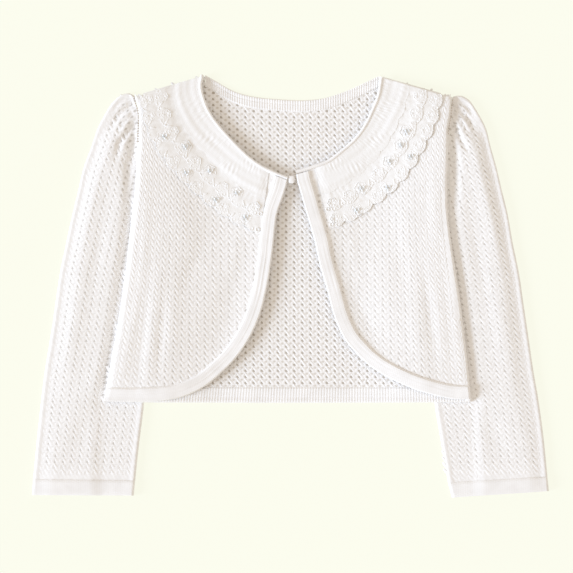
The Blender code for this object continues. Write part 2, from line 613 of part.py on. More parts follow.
build_back()
build_back_bands()
for side in ("left", "right"):
    build_front(side)
    build_piping(side)
    build_sleeve(side)
    for tier in TIERS:
        build_lace(side, tier)
build_tab()
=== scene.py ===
# Lace cardigan: the looks of a girl's knitted bolero with a lace collar, laid flat on a pale floor.
# Sizes are millimetres in the pattern's own axes, +Y towards the neck; placed() makes them metres.

import math

import bpy
import numpy as np
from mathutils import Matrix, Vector


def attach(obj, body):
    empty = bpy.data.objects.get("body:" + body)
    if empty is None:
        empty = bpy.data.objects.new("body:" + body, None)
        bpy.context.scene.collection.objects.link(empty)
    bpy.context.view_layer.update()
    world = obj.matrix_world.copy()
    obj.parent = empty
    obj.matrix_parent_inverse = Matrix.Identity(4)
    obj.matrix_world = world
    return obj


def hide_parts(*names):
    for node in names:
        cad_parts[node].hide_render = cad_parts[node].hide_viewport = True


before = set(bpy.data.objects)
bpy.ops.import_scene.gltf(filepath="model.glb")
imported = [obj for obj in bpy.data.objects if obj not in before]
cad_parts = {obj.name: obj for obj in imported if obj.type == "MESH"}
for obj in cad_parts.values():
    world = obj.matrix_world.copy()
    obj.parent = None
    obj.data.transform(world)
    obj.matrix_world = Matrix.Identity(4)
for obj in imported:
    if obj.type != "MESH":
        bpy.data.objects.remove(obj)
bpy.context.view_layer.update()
print("frame loaded:", len(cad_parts), "nodes")

mm = 0.001
sideNames = ("left", "right")           # the photograph's left and right
outward = {"left": -1.0, "right": 1.0}

pattern = {
    "middle": np.array([0.0, -0.9, 0.0]),   # middle of the garment in the pattern's axes
    "hemY": -96.0,
    "underBodyY": 122.0,                    # below this the sleeves pass under the body
    "bandWidth": 11.5,
    "hemDepth": 12.3,
    "neckBandDepth": 9.8,
}

# Armhole and side seam of the body, shoulder to hem
bodySides = {
    "left": np.array([
        (-128.0, 154.0), (-125.5, 148.5), (-124.0, 142.0), (-123.5, 135.5), (-124.0, 127.0),
        (-124.5, 119.0), (-126.0, 102.5), (-126.5, 86.0), (-128.5, 65.5), (-131.0, 45.0),
        (-133.5, 20.5), (-138.0, -12.5), (-142.0, -37.0), (-146.5, -61.5), (-150.0, -82.0),
        (-153.0, -96.0)]),
    "right": np.array([
        (132.5, 154.0), (131.5, 148.5), (131.0, 142.0), (130.0, 135.5), (128.5, 127.0),
        (128.5, 115.0), (128.5, 102.5), (128.0, 86.0), (128.0, 65.5), (130.0, 45.0),
        (133.5, 20.5), (138.5, -12.5), (141.5, -37.0), (144.5, -61.5), (146.5, -82.0),
        (148.0, -96.0)]),
}

# Visible edge of each front's neckline, shoulder to centre front
necklines = {
    "left": np.array([
        (-71.0, 172.0), (-72.5, 164.0), (-71.0, 155.0), (-66.0, 142.5), (-58.0, 131.0),
        (-49.5, 121.5), (-41.5, 113.0), (-33.0, 105.0), (-23.5, 98.5), (-13.5, 93.5), (-2.0, 89.0)]),
    "right": np.array([
        (73.5, 171.5), (71.0, 156.5), (67.0, 146.0), (61.0, 133.0), (53.0, 121.5),
        (42.0, 111.5), (30.0, 102.5), (16.0, 97.5), (4.2, 94.0)]),
}

# Visible edge of each front's band, neck to side seam
freeEdges = {
    "left": np.array([
        (-2.3, 85.6), (-3.6, 80.0), (-5.8, 73.0), (-11.0, 57.5), (-13.5, 37.0), (-16.0, 16.5),
        (-19.5, -4.0), (-25.0, -24.5), (-33.0, -42.5), (-44.0, -59.0), (-56.0, -71.5),
        (-70.0, -83.0), (-86.5, -91.0), (-103.0, -94.5), (-127.5, -95.8), (-152.6, -95.5)]),
    "right": np.array([
        (4.6, 90.4), (5.6, 84.5), (8.0, 77.0), (13.5, 57.5), (19.5, 37.0), (24.0, 16.5),
        (30.0, -4.0), (35.5, -24.5), (43.0, -42.0), (53.0, -55.0), (66.0, -67.0),
        (81.5, -76.5), (100.5, -85.0), (118.5, -90.5), (132.5, -93.3), (147.3, -94.0)]),
}

backNeck = np.array([
    (-70.0, 172.5), (-61.0, 167.5), (-51.0, 161.5), (-41.5, 157.5), (-28.5, 154.5), (-12.0, 152.8),
    (8.0, 151.8), (24.0, 153.0), (37.5, 156.5), (50.5, 161.5), (63.5, 167.5), (73.0, 172.0)])

# Edge of each sleeve where it is sewn in
armholes = {
    "left": np.array([
        (-129.2, 156.0), (-126.8, 149.0), (-124.7, 142.0), (-124.2, 135.0), (-124.5, 128.0),
        (-124.8, 120.0), (-124.4, 108.0), (-123.6, 95.0), (-122.6, 80.0), (-121.2, 62.0),
        (-119.4, 44.0), (-117.0, 24.0)]),
    "right": np.array([
        (133.1, 154.5), (132.1, 149.0), (131.5, 142.0), (130.5, 135.0), (129.1, 127.0),
        (128.9, 119.0), (128.3, 108.0), (127.6, 95.0), (126.4, 80.0), (124.4, 62.0),
        (121.8, 44.0), (119.0, 24.0)]),
}

# Sections of each sleeve: outer fold x, y, inner fold x, y, swell of its top, how far it hugs the armhole
sleeveRows = {
    "left": np.array([
        (-129.2, 156.0, -117.0, 24.0, 0.8, 1.0), (-133.0, 157.5, -116.7, 20.0, 1.8, 0.72),
        (-139.0, 156.0, -116.4, 16.0, 2.3, 0.5), (-144.5, 151.5, -116.2, 12.0, 2.6, 0.33),
        (-149.5, 145.0, -115.9, 8.0, 2.6, 0.2), (-154.0, 137.0, -115.6, 4.0, 2.6, 0.1),
        (-158.5, 128.0, -115.4, 0.0, 2.6, 0.0), (-163.5, 113.0, -115.1, -5.0, 2.5, 0.0),
        (-169.5, 97.0, -114.8, -11.0, 2.4, 0.0), (-174.0, 78.0, -114.4, -18.0, 2.3, 0.0),
        (-179.0, 57.5, -114.2, -26.0, 2.2, 0.0), (-184.0, 34.5, -114.2, -35.0, 2.1, 0.0),
        (-189.0, 10.5, -114.8, -45.0, 2.0, 0.0), (-193.0, -16.5, -115.6, -57.0, 1.9, 0.0),
        (-197.0, -43.5, -116.9, -70.0, 1.8, 0.0), (-201.5, -70.5, -118.8, -84.0, 1.7, 0.0),
        (-205.0, -98.5, -121.0, -105.0, 1.6, 0.0), (-208.0, -127.0, -124.3, -131.0, 1.4, 0.0),
        (-211.2, -160.0, -127.5, -160.8, 1.2, 0.0)]),
    "right": np.array([
        (133.1, 154.5, 119.0, 24.0, 0.8, 1.0), (137.0, 155.5, 118.7, 20.0, 1.8, 0.72),
        (141.5, 155.0, 118.4, 16.0, 2.3, 0.5), (147.0, 151.5, 118.2, 12.0, 2.6, 0.33),
        (152.0, 144.5, 117.9, 8.0, 2.6, 0.2), (157.0, 136.0, 117.6, 4.0, 2.6, 0.1),
        (161.0, 127.0, 117.3, 0.0, 2.6, 0.0), (164.5, 113.0, 116.9, -5.0, 2.5, 0.0),
        (169.0, 97.0, 116.4, -11.0, 2.4, 0.0), (173.5, 78.0, 115.8, -18.0, 2.3, 0.0),
        (178.5, 57.5, 115.3, -26.0, 2.2, 0.0), (182.5, 34.5, 115.0, -35.0, 2.1, 0.0),
        (187.5, 10.5, 115.0, -45.0, 2.0, 0.0), (191.5, -16.5, 115.0, -57.0, 1.9, 0.0),
        (195.5, -43.5, 115.8, -70.0, 1.8, 0.0), (199.5, -70.5, 116.8, -84.0, 1.7, 0.0),
        (204.0, -97.0, 119.6, -105.0, 1.6, 0.0), (208.0, -127.0, 124.2, -131.5, 1.4, 0.0),
        (211.0, -157.5, 129.5, -162.5, 1.2, 0.0)]),
}
cuffEnds = {
    "left": np.array([-212.2, -172.3, -128.6, -172.7, 1.0, 0.0]),
    "right": np.array([212.2, -169.0, 132.6, -174.3, 1.0, 0.0]),
}

# How the layers lie: heights, and the distances over which they rise or fall
lay = {
    "knitWall": 1.6, "ribHeight": 2.0, "bandHeight": 2.7, "gap": 0.35,
    "sleeveEdge": 4.2, "sleeveSwell": 12.0,     # a sleeve's height at its folds; its top swells this far out
    "carry": 4.55, "carryClear": 3.0, "carryRamp": 66.0,        # the body's slope up on to the sleeves
    "loft": 1.5, "hemLoft": 0.35,               # room under a front, and the share of it at the hem
    "roll": 0.8, "sideRoll": {"left": 4.0, "right": 1.4},       # rounding at the shoulder and the side
    "armholeRoll": 1.2, "armholeEnd": 128.0,    # tighter above this height, along the armhole
    "edgeRise": 1.45, "edgeReach": 30.0,        # how the free edges lift
    "sideProud": {"left": 0.3, "right": 0.5},   # how far each side edge stands off what it lies on
}

# Soft ridges of the fronts: x, y, angle, half length, half width, height (a trough where it is negative)
frontCreases = {
    "left": np.array([
        (-64.0, -4.0, 69.0, 36.0, 13.0, 0.8), (-114.0, -40.0, 84.0, 45.0, 6.0, 0.7),
        (-97.0, -30.0, 86.0, 40.0, 7.0, 0.5), (-88.0, 52.0, 100.0, 26.0, 10.0, 0.5),
        (-136.0, -58.0, 80.0, 34.0, 3.6, 0.45), (-128.0, -30.0, 82.0, 52.0, 3.2, 0.4),
        (-119.5, 40.0, 88.0, 40.0, 4.2, 0.4), (-106.0, -44.0, 85.0, 30.0, 3.0, -0.5),
        (-121.5, -50.0, 83.0, 36.0, 2.6, -0.45), (-79.0, 18.0, 64.0, 22.0, 6.0, -0.5),
        (-46.0, 26.0, 74.0, 24.0, 6.5, 0.45), (-52.0, -38.0, 58.0, 20.0, 5.5, -0.4)]),
    "right": np.array([
        (78.0, -12.0, 102.0, 36.0, 13.0, 0.8), (104.0, -36.0, 96.0, 42.0, 8.0, 0.7),
        (123.0, -30.0, 96.0, 44.0, 6.0, 0.6), (96.0, 56.0, 84.0, 26.0, 10.0, 0.5),
        (134.0, -20.0, 94.0, 56.0, 3.4, 0.4), (113.5, -20.0, 97.0, 34.0, 3.4, -0.45),
        (62.0, -30.0, 112.0, 22.0, 5.0, -0.5), (90.0, 20.0, 100.0, 26.0, 6.0, -0.45),
        (52.0, 24.0, 100.0, 26.0, 6.0, 0.4), (118.0, 62.0, 92.0, 30.0, 4.5, 0.35)]),
}
# Gathers of the sleeve heads: three points, half width and depth of each trough
sleeveGathers = {
    "left": np.array([
        (-131.0, 148.0, -143.0, 136.0, -151.5, 124.0, 2.4, 1.9),
        (-129.0, 131.0, -140.0, 117.0, -145.0, 96.0, 2.4, 2.4),
        (-127.5, 119.0, -133.0, 98.0, -135.0, 58.0, 3.0, 1.8),
        (-132.0, 155.0, -141.0, 149.0, -149.0, 138.0, 1.5, 1.0),
        (-130.0, 140.5, -139.0, 131.0, -145.0, 118.0, 1.6, 1.2),
        (-128.0, 125.0, -136.0, 110.0, -140.0, 84.0, 1.8, 0.8)]),
    "right": np.array([
        (134.0, 146.0, 146.0, 137.0, 155.0, 120.0, 2.2, 1.9),
        (131.5, 136.0, 140.6, 117.5, 147.5, 105.0, 1.7, 2.6),
        (131.5, 112.0, 135.0, 92.0, 137.0, 55.0, 2.8, 1.5),
        (136.5, 152.0, 146.0, 145.5, 153.5, 134.0, 1.5, 1.3),
        (134.0, 141.5, 142.5, 130.0, 150.5, 117.0, 1.5, 1.2),
        (131.0, 124.0, 136.0, 108.0, 141.0, 80.0, 1.8, 0.8)]),
}
# Soft creases down the sleeves, as frontCreases
sleeveCreases = {
    "left": np.array([
        (-168.0, 60.0, 76.0, 48.0, 6.0, 0.7), (-157.0, 30.0, 80.0, 40.0, 5.0, -0.6),
        (-176.0, -30.0, 80.0, 46.0, 7.0, 0.6), (-190.0, -96.0, 84.0, 30.0, 6.0, -0.5),
        (-168.0, -118.0, 70.0, 26.0, 9.0, -0.8), (-148.0, -128.0, 98.0, 24.0, 6.0, 0.6),
        (-160.0, -78.0, 62.0, 24.0, 8.0, 0.5)]),
    "right": np.array([
        (163.0, 62.0, 104.0, 46.0, 6.0, 0.7), (154.0, 26.0, 100.0, 40.0, 5.0, -0.5),
        (172.0, -30.0, 99.0, 46.0, 7.0, 0.6), (190.0, -84.0, 96.0, 30.0, 6.0, -0.5),
        (166.0, -120.0, 108.0, 26.0, 9.0, -0.7), (150.0, -124.0, 84.0, 26.0, 6.0, 0.6),
        (182.0, 20.0, 100.0, 34.0, 4.0, -0.5)]),
}


# A soft step: 0 below 0, 1 above 1, 3t² - 2t³ between
def ease(t):
    t = np.clip(t, 0.0, 1.0)
    return t * t * (3.0 - 2.0 * t)


# The middle span of a cubic through four knots in a row, at t from 0 to 1 along it
def cubicSpan(a, b, c, d, t):
    return 0.5 * (2 * b + (c - a) * t + (2 * a - 5 * b + 4 * c - d) * t ** 2
                  + (3 * b - a - 3 * c + d) * t ** 3)


# Knots with one more at each end, where the last step would lead
def padded(knots):
    return np.vstack([2 * knots[0] - knots[1], knots, 2 * knots[-1] - knots[-2]])


# How far along a path each of its points lies, seen from above: the sum of the steps up to it
def lengthsAlong(path):
    return np.concatenate([[0.0], np.cumsum(np.hypot(*np.diff(path[:, :2], axis=0).T))])


# A path read at distances along it, straight between its points
def readAlong(path, along, places):
    return np.stack([np.interp(places, along, k) for k in path.T], axis=1)


# Smooth curve through the knots (each span a cubic from its four nearest knots), read at shares of its length
def smoothPath(knots, shares):
    p = np.asarray(knots, float)
    four = [padded(p)[k:len(p) - 1 + k, None] for k in range(4)]
    t = np.linspace(0.0, 1.0, 12, endpoint=False)[None, :, None]
    curve = np.vstack([cubicSpan(*four, t).reshape(-1, p.shape[1]), p[-1:]])
    along = lengthsAlong(curve)
    return readAlong(curve, along, np.asarray(shares) * along[-1])


# A table's rows read at evenly spaced places along it, smooth in every column
def smoothRows(table, count):
    spans = np.linspace(0.0, len(table) - 1.0, count)
    i = np.minimum(spans.astype(int), len(table) - 2)
    return cubicSpan(*(padded(table)[i + k] for k in range(4)), (spans - i)[:, None])


# Unit vector along a path at each of its points
def directions(path):
    step = np.gradient(path, axis=0)
    return step / np.hypot(*step.T)[:, None]


# An outline with its first point repeated at its end
def closedLoop(outline):
    return np.vstack([outline, outline[:1]])


# Places seen from above together with their heights
def withHeight(flat, height):
    return np.concatenate([flat, height[..., None]], axis=-1)


# The body's side at a height, straight between the points of bodySides
def sideX(side, y):
    rows = bodySides[side][::-1]
    return np.interp(y, rows[:, 1], rows[:, 0])


# Height of the shoulder line over a point, straight between the ends of side and neckline
def shoulderY(side, x):
    ends = np.array(sorted([tuple(bodySides[side][0]), tuple(necklines[side][0])]))
    return np.interp(x, ends[:, 0], ends[:, 1])


# Shortest distance from each point to a chain of straight runs
def distanceTo(path, x, y):
    start, run = path[:-1], np.diff(path, axis=0)
    dx = x[..., None] - start[:, 0]
    dy = y[..., None] - start[:, 1]
    share = np.clip((dx * run[:, 0] + dy * run[:, 1]) / (run ** 2).sum(axis=1), 0.0, 1.0)
    return np.hypot(dx - share * run[:, 0], dy - share * run[:, 1]).min(axis=-1)


# Whether each point lies in a closed outline: where a line to its right crosses it an odd number of times
def insideOf(outline, x, y):
    a, b = outline, np.roll(outline, -1, axis=0)
    rises = (a[:, 1] > y[..., None]) != (b[:, 1] > y[..., None])
    height = np.where(b[:, 1] == a[:, 1], 1.0, b[:, 1] - a[:, 1])
    crossing = a[:, 0] + (y[..., None] - a[:, 1]) * (b[:, 0] - a[:, 0]) / height
    return (rises & (x[..., None] < crossing)).sum(axis=-1) % 2 == 1


# Sum of long soft ridges, each height times exp(-(along / half length)² - (across / half width)²)
def creaseHeight(creases, x, y):
    total = np.zeros(np.shape(x))
    for cx, cy, angle, halfLength, halfWidth, height in creases:
        c, s = math.cos(math.radians(angle)), math.sin(math.radians(angle))
        along = (x - cx) * c + (y - cy) * s
        across = (y - cy) * c - (x - cx) * s
        total += height * np.exp(-(along / halfLength) ** 2 - (across / halfWidth) ** 2)
    return total


# How high the body lies: 0 in the middle, on the sleeves' height at its sides, a soft step between
def carriedHeight(x, y):
    height = np.zeros(np.shape(x))
    for side in sideNames:
        armhole = armholes[side][armholes[side][:, 1] < pattern["underBodyY"]]
        under = np.vstack([armhole, sleeveRows[side][1:, 2:4]])[::-1]
        edge = np.interp(y, under[:, 1], under[:, 0])
        inside = np.maximum((edge - x) * outward[side], 0.0)
        away = np.hypot(inside, np.maximum(y - pattern["underBodyY"], 0.0))
        step = ease(1.0 - (away - lay["carryClear"]) / lay["carryRamp"])
        height = np.maximum(height, lay["carry"] * step)
    return height


# Neckline and free edge of each front in one run
neckStations, edgeStations = 14, 30
frontEdges = {side: np.vstack([smoothPath(necklines[side], np.linspace(0, 1, neckStations)),
                               smoothPath(freeEdges[side], np.linspace(0, 1, edgeStations))])
              for side in sideNames}


# Underside of a front: over the back, rolled down at side and shoulder, lifted towards its free edges. Each
# part fades out by soft steps of the distances from side, shoulder and hem
def frontFloor(side, x, y):
    fromSide = (sideX(side, y) - x) * outward[side]
    belowShoulder = shoulderY(side, x) - y
    aboveHem = y - pattern["hemY"]
    tighter = ease((lay["armholeEnd"] - y) / 14.0)
    flank = lay["armholeRoll"] + (lay["sideRoll"][side] - lay["armholeRoll"]) * tighter
    rolled = ease(fromSide / flank) * ease(belowShoulder / lay["roll"])
    room = lay["hemLoft"] + (1.0 - lay["hemLoft"]) * ease(aboveHem / 14.0)
    free = ease(1.0 - distanceTo(frontEdges[side], x, y) / lay["edgeReach"])
    free = free * ease(aboveHem / 45.0) * ease(fromSide / 22.0) * ease(belowShoulder / 22.0)
    creases = creaseHeight(frontCreases[side], x, y)
    loft = (lay["loft"] + creases * (1.0 - free)) * rolled * room
    proud = lay["sideProud"][side] * ease(1.0 - fromSide / 18.0) * ease(fromSide / 1.5)
    proud = proud * ease(aboveHem / 30.0) * ease(belowShoulder / 50.0)
    return carriedHeight(x, y) + lay["ribHeight"] + lay["gap"] + loft + lay["edgeRise"] * free + proud


# From the pattern's millimetres to the frame's metres: (point - middle) x 0.001
def placed(points):
    return (np.asarray(points, float) - pattern["middle"]) * mm


# Edges of a piece sharper than this stay crisp, such as the rims of thin cloth
sharpAngle = math.radians(65.0)


# Puts a surface into the file. Each face set has the corners of one face a row; uvFaces, if given, hold the
# same corners as places in uv, for pieces whose pattern goes once round. The last argument, 0 to 1 a point,
# is how much painted shade shows in the knit's open meshes
def makePiece(name, points, faceSets, finish, uv=None, uvFaces=None, shadeInHoles=None):
    points = np.asarray(points, float).reshape(-1, 3)
    mesh = bpy.data.meshes.new(name)
    corners = np.concatenate([faces.ravel() for faces in faceSets])
    counts = np.concatenate([np.full(len(faces), faces.shape[1]) for faces in faceSets])
    mesh.vertices.add(len(points))
    mesh.vertices.foreach_set("co", placed(points).astype(np.float32).ravel())
    mesh.loops.add(len(corners))
    mesh.loops.foreach_set("vertex_index", corners.astype(np.int32))
    mesh.polygons.add(len(counts))
    mesh.polygons.foreach_set("loop_start", (np.cumsum(counts) - counts).astype(np.int32))
    if uv is not None:
        places = corners if uvFaces is None else np.concatenate([faces.ravel() for faces in uvFaces])
        layer = mesh.uv_layers.new(name="cloth")
        layer.data.foreach_set("uv", np.asarray(uv, np.float32).reshape(-1, 2)[places].ravel())
    if shadeInHoles is not None:
        shows = mesh.attributes.new("shadeInHoles", "FLOAT", "POINT")
        shows.data.foreach_set("value", np.asarray(shadeInHoles, np.float32).ravel())
    mesh.update(calc_edges=True)
    mesh.validate()
    mesh.shade_smooth()
    mesh.set_sharp_from_angle(angle=sharpAngle)
    mesh.materials.append(finish)
    piece = bpy.data.objects.new(name, mesh)
    bpy.context.scene.collection.objects.link(piece)
    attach(piece, "root")
    return piece


# Corners of a grid's faces, counted from `first`; a closed grid's last column meets its first
def gridFaces(rows, columns, closed=False, first=0):
    r, c = np.meshgrid(np.arange(rows - 1), np.arange(columns if closed else columns - 1), indexing="ij")
    r, c = r.ravel() * columns, c.ravel()
    n = (c + 1) % columns
    return first + np.stack([r + c, r + n, r + columns + n, r + columns + c], axis=1)


# The faces that close both ends of a bar in a point, where its two end points follow those of its rings
def tipFaces(stations, sides):
    size = stations * sides
    k, n = np.arange(sides), (np.arange(sides) + 1) % sides
    start = np.stack([k, n, np.full(sides, size)], axis=1)
    end = np.stack([size - sides + n, size - sides + k, np.full(sides, size + 1)], axis=1)
    return start, end


# The faces of one shape for each of its copies, whose points follow each other
def repeated(faces, copies, size):
    return (faces[None] + (np.arange(copies) * size)[:, None, None]).reshape(-1, faces.shape[1])


# Six times the signed volume of the faces' closed shape: the sum of corner products of each face's fan
def signedVolume(points, faceSets):
    total = 0.0
    for faces in faceSets:
        for k in range(1, faces.shape[1] - 1):
            a, b, c = points[faces[:, 0]], points[faces[:, k]], points[faces[:, k + 1]]
            total += np.einsum("ij,ij->", a, np.cross(b, c))
    return total


# Turns the faces over if they point inwards
def facingOut(points, faceSets, uvFaces=None):
    if signedVolume(np.asarray(points).reshape(-1, 3), faceSets) < 0.0:
        faceSets = [faces[:, ::-1] for faces in faceSets]
        uvFaces = None if uvFaces is None else [faces[:, ::-1] for faces in uvFaces]
    return faceSets, uvFaces


# A closed cloth shell: its upper grid, its lower grid and the rim that joins them
def clothShell(name, upper, lower, uvGrid, finish, shadeInHoles=None):
    rows, columns = upper.shape[:2]
    size = rows * columns
    top = gridFaces(rows, columns)
    bottom = gridFaces(rows, columns, first=size)[:, ::-1]
    rim = np.concatenate([np.arange(columns), np.arange(1, rows) * columns + columns - 1,
                          (rows - 1) * columns + np.arange(columns - 2, -1, -1),
                          np.arange(rows - 2, 0, -1) * columns])
    after = np.roll(rim, -1)
    sides = np.stack([rim, rim + size, after + size, after], axis=1)
    points = np.concatenate([upper.reshape(-1, 3), lower.reshape(-1, 3)])
    faceSets, _ = facingOut(points, [top, bottom, sides])
    if shadeInHoles is not None:
        shadeInHoles = np.tile(np.ravel(shadeInHoles), 2)
    return makePiece(name, points, faceSets, finish, uv=np.concatenate([uvGrid, uvGrid]).reshape(-1, 2),
                     shadeInHoles=shadeInHoles)


# A closed bar from rings of points: capped at both ends, its pattern running once round
def closedBar(name, rings, uvAlong, uvAround, finish):
    count, around = rings.shape[:2]
    faces = gridFaces(count, around, closed=True)
    r, c = np.divmod(np.arange(len(faces)), around)
    uvFaces = np.stack([r * (around + 1) + c, r * (around + 1) + c + 1,
                        (r + 1) * (around + 1) + c + 1, (r + 1) * (around + 1) + c], axis=1)
    uvPoints = np.stack(np.meshgrid(uvAround, uvAlong), axis=-1).reshape(-1, 2)
    caps = [np.arange(around)[None, ::-1], (count - 1) * around + np.arange(around)[None]]
    uvCaps = [np.arange(around)[None, ::-1], (count - 1) * (around + 1) + np.arange(around)[None]]
    faceSets, uvFaces = facingOut(rings, [faces, *caps], [uvFaces, *uvCaps])
    return makePiece(name, rings, faceSets, finish, uv=uvPoints, uvFaces=uvFaces)


# Round bars along many paths at once: circles of the given radius stand across each path's direction, and a
# point closes each end. paths has the shape (bars, stations, 3)
def cordSet(name, paths, radius, finish, sides=5, closed=False):
    bars, stations = paths.shape[:2]
    ahead = np.roll(paths, -1, axis=1) - np.roll(paths, 1, axis=1) if closed else np.gradient(paths, axis=1)
    ahead = ahead / np.maximum(np.linalg.norm(ahead, axis=2, keepdims=True), 1e-9)
    across = np.cross(ahead, [0.0, 0.0, 1.0])
    across = across / np.maximum(np.linalg.norm(across, axis=2, keepdims=True), 1e-9)
    up = np.cross(across, ahead)
    turn = np.linspace(0.0, 2 * math.pi, sides, endpoint=False)
    radius = np.broadcast_to(np.asarray(radius, float), (bars, stations))[:, :, None, None]
    ring = (paths[:, :, None] + radius * np.cos(turn)[:, None] * across[:, :, None]
            + radius * np.sin(turn)[:, None] * up[:, :, None])
    uvRing = np.meshgrid(np.linspace(0.0, 1.0, stations), turn / (2 * math.pi), indexing="ij")
    uv = np.tile(np.stack(uvRing, axis=-1).reshape(-1, 2), (bars, 1, 1))
    size = stations * sides
    points = ring.reshape(bars, size, 3)
    sets = [gridFaces(stations + 1 if closed else stations, sides, closed=True) % size]
    if not closed:
        points = np.concatenate([points, paths[:, :1], paths[:, -1:]], axis=1)
        uv = np.concatenate([uv, np.zeros((bars, 1, 2)), np.ones((bars, 1, 2))], axis=1)
        sets += tipFaces(stations, sides)
    sets = [repeated(faces, bars, points.shape[1])[:, ::-1] for faces in sets]
    return makePiece(name, points, facingOut(points, sets)[0], finish, uv=uv.reshape(-1, 2))


strand = {
    "stations": np.array([0.1, 0.6, 0.92]),     # shares of a strand's length where its sections stand
    "section": np.array([(-1.0, -0.1), (-0.56, 0.66), (0.0, 1.0), (0.56, 0.66), (1.0, -0.1), (0.0, -0.9)]),
    "loose": 0.07, "uneven": 0.16,              # how much widths and heights vary by chance
}


# Drop-shaped strands: each runs from its row of `starts` to its row of `ends` over the surface that heightAt
# gives, as wide and high along it as `widths` and `rises` say, with a shallow keel below. Those that hang
# down, towards the floor, are plain: their sections have three corners
def strandSet(name, starts, ends, width, rise, heightAt, finish, downwards=False, seed=3,
              widths=(0.8, 1.0, 0.74), rises=(0.9, 0.95, 0.5), warp=None):
    rng = np.random.default_rng(seed)
    along, section = strand["stations"], strand["section"][::2 if downwards else 1]
    count, rings, sides = len(starts), len(along), len(section)
    run = ends - starts
    across = np.column_stack([run[:, 1], -run[:, 0]]) / np.hypot(*run.T)[:, None]
    width = width * (1.0 + strand["loose"] * rng.standard_normal((count, 1, 1)))
    rise = np.broadcast_to(rise, count)[:, None, None]
    rise = rise * (1.0 + strand["uneven"] * rng.standard_normal((count, 1, 1)))
    aside = section[None, None, :, 0] * np.asarray(widths)[None, :, None] * width / 2.0
    lift = section[None, None, :, 1] * np.asarray(rises)[None, :, None] * rise
    flat = (starts[:, None, None] + run[:, None, None] * along[None, :, None, None]
            + across[:, None, None] * aside[..., None])
    flat = np.concatenate([flat.reshape(count, -1, 2), starts[:, None], ends[:, None]], axis=1)
    if warp is not None:
        flat = np.stack([warp(flat[..., 0], flat[..., 1]), flat[..., 1]], axis=-1)
    lift = np.concatenate([lift.reshape(count, -1), np.zeros((count, 2))], axis=1)
    points = withHeight(flat, heightAt(flat[..., 0], flat[..., 1]) + (-lift if downwards else lift))
    start, end = tipFaces(rings, sides)
    sets = [repeated(faces, count, rings * sides + 2)
            for faces in (gridFaces(rings, sides, closed=True), start[:, ::-1], end[:, ::-1])]
    uvRing = np.stack(np.meshgrid(along, np.arange(sides) / sides, indexing="ij"), axis=-1).reshape(-1, 2)
    uv = np.tile(np.vstack([uvRing, [(0.0, 0.5), (1.0, 0.5)]]), (count, 1))
    return makePiece(name, points, facingOut(points, sets)[0], finish, uv=uv)


# Starts a procedural finish; plain numbers go on its Principled shader's own sockets
def newFinish(name, roughness, sheen=0.0, specular=0.3):
    made = bpy.data.materials.new(name)
    made.use_nodes = True
    shader = made.node_tree.nodes["Principled BSDF"]
    for socket, value in (("Roughness", roughness), ("Specular IOR Level", specular),
                          ("Sheen Weight", sheen), ("Sheen Roughness", 0.5)):
        shader.inputs[socket].default_value = value
    return made, made.node_tree, shader


# Coordinates that patterns follow: Object for mottling and fibres, UV for what runs along the cloth
def coordsOf(tree):
    return tree.nodes.new("ShaderNodeTexCoord").outputs


# A vector's X, Y and Z
def partsOf(tree, vector):
    parts = tree.nodes.new("ShaderNodeSeparateXYZ")
    tree.links.new(vector, parts.inputs["Vector"])
    return parts.outputs


# One step of shader arithmetic; each value is a socket or a plain number
def worked(tree, operation, *values):
    step = tree.nodes.new("ShaderNodeMath")
    step.operation = operation
    for place, value in zip(step.inputs, values):
        if isinstance(value, float):
            place.default_value = value
        else:
            tree.links.new(value, place)
    return step.outputs[0]


# A value carried from one range to another and held at its ends
def ranged(tree, value, source, target=(0.0, 1.0), kind="LINEAR"):
    step = tree.nodes.new("ShaderNodeMapRange")
    step.interpolation_type = kind
    for socket, number in zip(("From Min", "From Max", "To Min", "To Max"), (*source, *target)):
        step.inputs[socket].default_value = number
    tree.links.new(value, step.inputs["Value"])
    return step.outputs["Result"]


# Soft noise; a high scale gives loose fibres
def noiseOf(tree, source, scale, detail):
    noise = tree.nodes.new("ShaderNodeTexNoise")
    noise.inputs["Scale"].default_value = scale
    noise.inputs["Detail"].default_value = detail
    tree.links.new(source, noise.inputs["Vector"])
    return noise.outputs["Fac"]


# Colour that goes from the first tone to the second as a value goes between two places
def toned(tree, value, places, tones):
    ramp = tree.nodes.new("ShaderNodeValToRGB")
    for element, place, tone in zip(ramp.color_ramp.elements, places, tones):
        element.position, element.color = place, (*tone, 1.0)
    tree.links.new(value, ramp.inputs["Fac"])
    return ramp.outputs["Color"]


# Mottled colour between two tones by a soft noise of the piece's own coordinates
def mottled(tree, source, tones, scale, detail=3.0):
    return toned(tree, noiseOf(tree, source, scale, detail), (0.32, 0.68), tones)


# A tone laid over a colour as far as a share says
def overlaid(tree, share, colour, tone):
    mix = tree.nodes.new("ShaderNodeMix")
    mix.data_type = "RGBA"
    tree.links.new(share, mix.inputs["Factor"])
    tree.links.new(colour, mix.inputs["A"])
    mix.inputs["B"].default_value = (*tone, 1.0)
    return mix.outputs["Result"]


# Gives a shader its colour and its relief: a Bump node for each (texture, strength, depth), chained in order
def dress(tree, shader, colour, reliefs):
    tree.links.new(colour, shader.inputs["Base Color"])
    target = shader.inputs["Normal"]
    for height, strength, depth in reversed(reliefs):
        bump = tree.nodes.new("ShaderNodeBump")
        bump.inputs["Strength"].default_value = strength
        bump.inputs["Distance"].default_value = depth * mm
        tree.links.new(height, bump.inputs["Height"])
        tree.links.new(bump.outputs["Normal"], target)
        target = bump.inputs["Normal"]


# Stripes over the cloth: 0.5 + 0.5 sin(2 pi (a u + b v))
def stripes(tree, uv, a, b):
    parts = partsOf(tree, uv)
    first = worked(tree, "MULTIPLY", parts["X"], 2 * math.pi * a)
    both = worked(tree, "MULTIPLY_ADD", parts["Y"], 2 * math.pi * b, first)
    return worked(tree, "MULTIPLY_ADD", worked(tree, "SINE", both), 0.5, 0.5)


